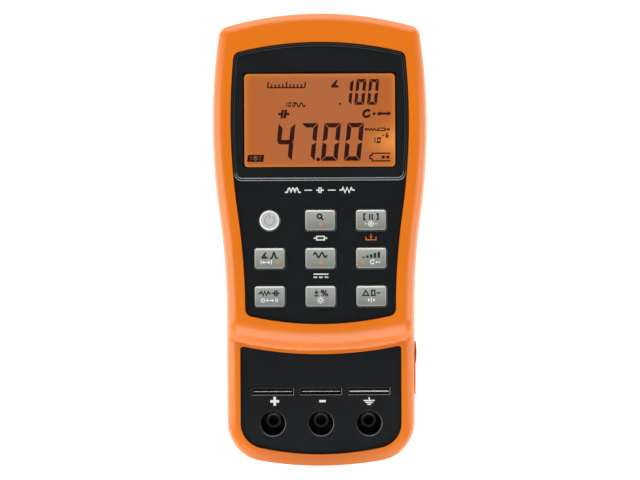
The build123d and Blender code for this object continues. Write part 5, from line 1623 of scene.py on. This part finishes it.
@dataclass
class CrossScrews:
    """A set of like screws with threads and cross recesses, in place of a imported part.

    The head looks down, out of the back of the case. Each screw is one skin of rings about its
    own axis, from the middle of the head's face out, up its side and along the shank to the tip.
    """

    node: str
    head_r: float
    head_h: float
    rows: int
    columns: int = 1
    countersunk: bool = False
    shank_r: float = 1.5
    pitch: float = 0.9
    thread_depth: float = 0.28
    arm_half: float = 0.36
    arm_reach: float = 1.55
    recess_depth: float = 0.95
    around: int = 64

    def places(self) -> list[np.ndarray]:
        """Return each screw's lowest and highest corner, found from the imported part's own points.

        The points are told apart by the side of the middle on which they lie, along y and, where
        the set has two columns, along x.

        Returns:
            For each screw, an array of its two corners.
        """
        points = node_points(self.node)
        side = (points > (points.min(axis=0) + points.max(axis=0)) / 2).astype(int)
        group = side[:, 1] * self.columns + side[:, 0] * (self.columns - 1)
        sets = (points[group == number] for number in range(self.rows * self.columns))
        return [np.array([own.min(axis=0), own.max(axis=0)]) for own in sets]

    def _screw(self, length: float) -> np.ndarray:
        """Return one screw's rings as points (ring, around, xyz), with its face at height 0.

        On the face the surface is sunk by the recess depth times clip((a - m) / 0.12, 0, 1)
        times clip((reach - l) / 0.3, 0, 1), with m the lesser and l the greater of |x| and |y|
        and a the half width of an arm. On the shank the radius is R - d t, with t the triangle
        wave |2 f - 1| of f, the fraction of z / pitch - angle / 360 degrees, faded at the start.

        Args:
            length: from the face to the tip, in millimetres.

        Returns:
            The rings' points.
        """
        turn = full_turn(self.around)
        face_r = np.linspace(0.02, self.head_r - 0.25, 34)
        x, y = np.outer(face_r, np.cos(turn)), np.outer(face_r, np.sin(turn))
        lesser, greater = np.minimum(abs(x), abs(y)), np.maximum(abs(x), abs(y))
        inside = np.clip((self.arm_half - lesser) / 0.12, 0, 1) * np.clip((self.arm_reach - greater) / 0.3, 0, 1)
        face = np.stack([x, y, self.recess_depth * inside], axis=-1)
        side_r, side_z = [self.head_r - 0.06, self.head_r, self.shank_r], [0.06, 0.22, self.head_h]
        if not self.countersunk:
            side_r.insert(2, self.head_r)
            side_z.append(self.head_h)
        shank_z = np.arange(self.head_h + 0.1, length - 0.35, self.pitch / 8)
        wave = np.abs(2 * np.mod(shank_z[:, None] / self.pitch - turn / (2 * np.pi), 1) - 1)
        fade = np.clip((shank_z - shank_z[0]) / 0.8, 0, 1)[:, None]
        plain = [np.repeat(np.array(r)[:, None], self.around, axis=1)
                 for r in (side_r, [self.shank_r - 0.35, 0.04])]
        radius = np.vstack([plain[0], self.shank_r - self.thread_depth * wave * fade, plain[1]])
        height = np.concatenate([side_z, shank_z, [length - 0.12, length]])
        rest = np.stack([
            radius * np.cos(turn), radius * np.sin(turn), np.repeat(height[:, None], self.around, axis=1),
        ], axis=-1)
        return np.concatenate([face, rest])

    def build(self) -> None:
        """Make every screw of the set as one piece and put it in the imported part's place."""
        vertices, faces, count = [], [], 0
        for low, high in self.places():
            rings = self._screw(high[2] - low[2])
            vertices.append(rings.reshape(-1, 3) + np.array([*(low + high)[:2] / 2, low[2]]))
            total = len(vertices[-1])
            faces.extend([*tube_faces(len(rings), self.around, count), *end_faces(total, self.around, count)])
            count += total
        body = body_of(frame["nodes"][self.node])[0]
        screws = make_piece(f"{self.node}_threaded", np.vstack(vertices), faces, ZINC, "zinc_steel", body, 35)
        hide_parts(self.node)


# ---------------------------------------------------------------- studio


@dataclass
class SoftBox:
    """One rectangular studio light. Its place and size are metres and its power is watts."""

    name: str
    place: tuple[float, float, float]
    size: Point
    power: float
    aim: tuple[float, float, float] = (0.0, 0.0, 0.02)

    def build(self) -> None:
        """Hang the light, facing its aim."""
        lamp = bpy.data.lights.new(self.name, "AREA")
        lamp.shape = "RECTANGLE"
        lamp.size, lamp.size_y = self.size
        lamp.energy = self.power
        light = bpy.data.objects.new(self.name, lamp)
        light.location = self.place
        towards = Vector(self.aim) - Vector(self.place)
        light.rotation_euler = towards.to_track_quat("-Z", "Y").to_euler()
        bpy.context.scene.collection.objects.link(light)


@dataclass
class Studio:
    """Pale floor, soft lights and the camera straight above the front face.

    The lens length follows from the width of one pixel on the terminal panel, on an image
    image_width pixels wide. camera_above is the camera's height over that panel in metres.
    """

    deck_z: float = 34.8
    camera_above: float = 0.532
    pixel_mm: float = 0.3952
    image_width: int = 640
    sensor: float = 36.0
    roll_deg: float = -0.27
    centre: Point = (-0.1, -0.12)
    world_light: float = 0.085
    floor_half: float = 1.5

    def camera(self) -> None:
        """Set up the camera, looking down with the display end at the top."""
        data = bpy.data.cameras.new("camera")
        data.sensor_width = self.sensor
        data.lens = self.sensor * self.camera_above / (self.image_width * self.pixel_mm * MM)
        data.clip_start, data.clip_end = 0.05, 20.0
        camera = bpy.data.objects.new("camera", data)
        height = self.deck_z * MM + self.camera_above
        camera.location = (self.centre[0] * MM, self.centre[1] * MM, height)
        camera.rotation_euler = (0.0, 0.0, math.radians(self.roll_deg))
        bpy.context.scene.collection.objects.link(camera)
        bpy.context.scene.camera = camera

    def world(self) -> None:
        """Fill the room with even light."""
        world = bpy.data.worlds.new("studio")
        world.use_nodes = True
        back = world.node_tree.nodes["Background"]
        back.inputs["Color"].default_value = linear("FFFFFF")
        back.inputs["Strength"].default_value = self.world_light
        bpy.context.scene.world = world

    def floor(self) -> None:
        """Lay a wide pale floor under the feet."""
        half = self.floor_half
        mesh = bpy.data.meshes.new("floor")
        corners = [(-half, -half, 0), (half, -half, 0), (half, half, 0), (-half, half, 0)]
        mesh.from_pydata(corners, [], [(0, 1, 2, 3)])
        mesh.materials.append(FLOOR.material())
        floor = bpy.data.objects.new("floor", mesh)
        bpy.context.scene.collection.objects.link(floor)

    def build(self) -> None:
        """Make the studio."""
        self.camera()
        self.world()
        self.floor()
        SoftBox("head_softbox", (0.0, 0.8, 0.34), (1.2, 0.62), 7.2).build()
        SoftBox("foot_softbox", (0.0, -0.8, 0.48), (1.1, 0.95), 9.6).build()
        SoftBox("left_softbox", (-0.8, 0.0, 0.22), (0.4, 1.2), 5.6).build()
        SoftBox("right_softbox", (0.8, 0.0, 0.14), (0.26, 1.2), 3.6).build()
        bpy.context.scene.view_settings.view_transform = "Standard"
        LOG.info("studio: camera, floor and four soft lights")


def main() -> None:
    """Build the studio and dress the tester, from the case inwards."""
    logging.basicConfig(level=logging.INFO, format="%(message)s")
    Studio().build()
    for row in Paintwork:
        row.apply()
    Display().build()
    Keypad().build()
    KeyWebs().build()
    PanelPrints().build()
    Terminals().build()
    WindowRim().build()
    InletBezel().build()
    CrossScrews("case_screws", 2.8, 2.0, rows=2, columns=2).build()
    CrossScrews("cover_screws", 2.75, 1.3, rows=2, countersunk=True, arm_reach=1.4, recess_depth=0.8).build()


if __name__ == "__main__":
    main()
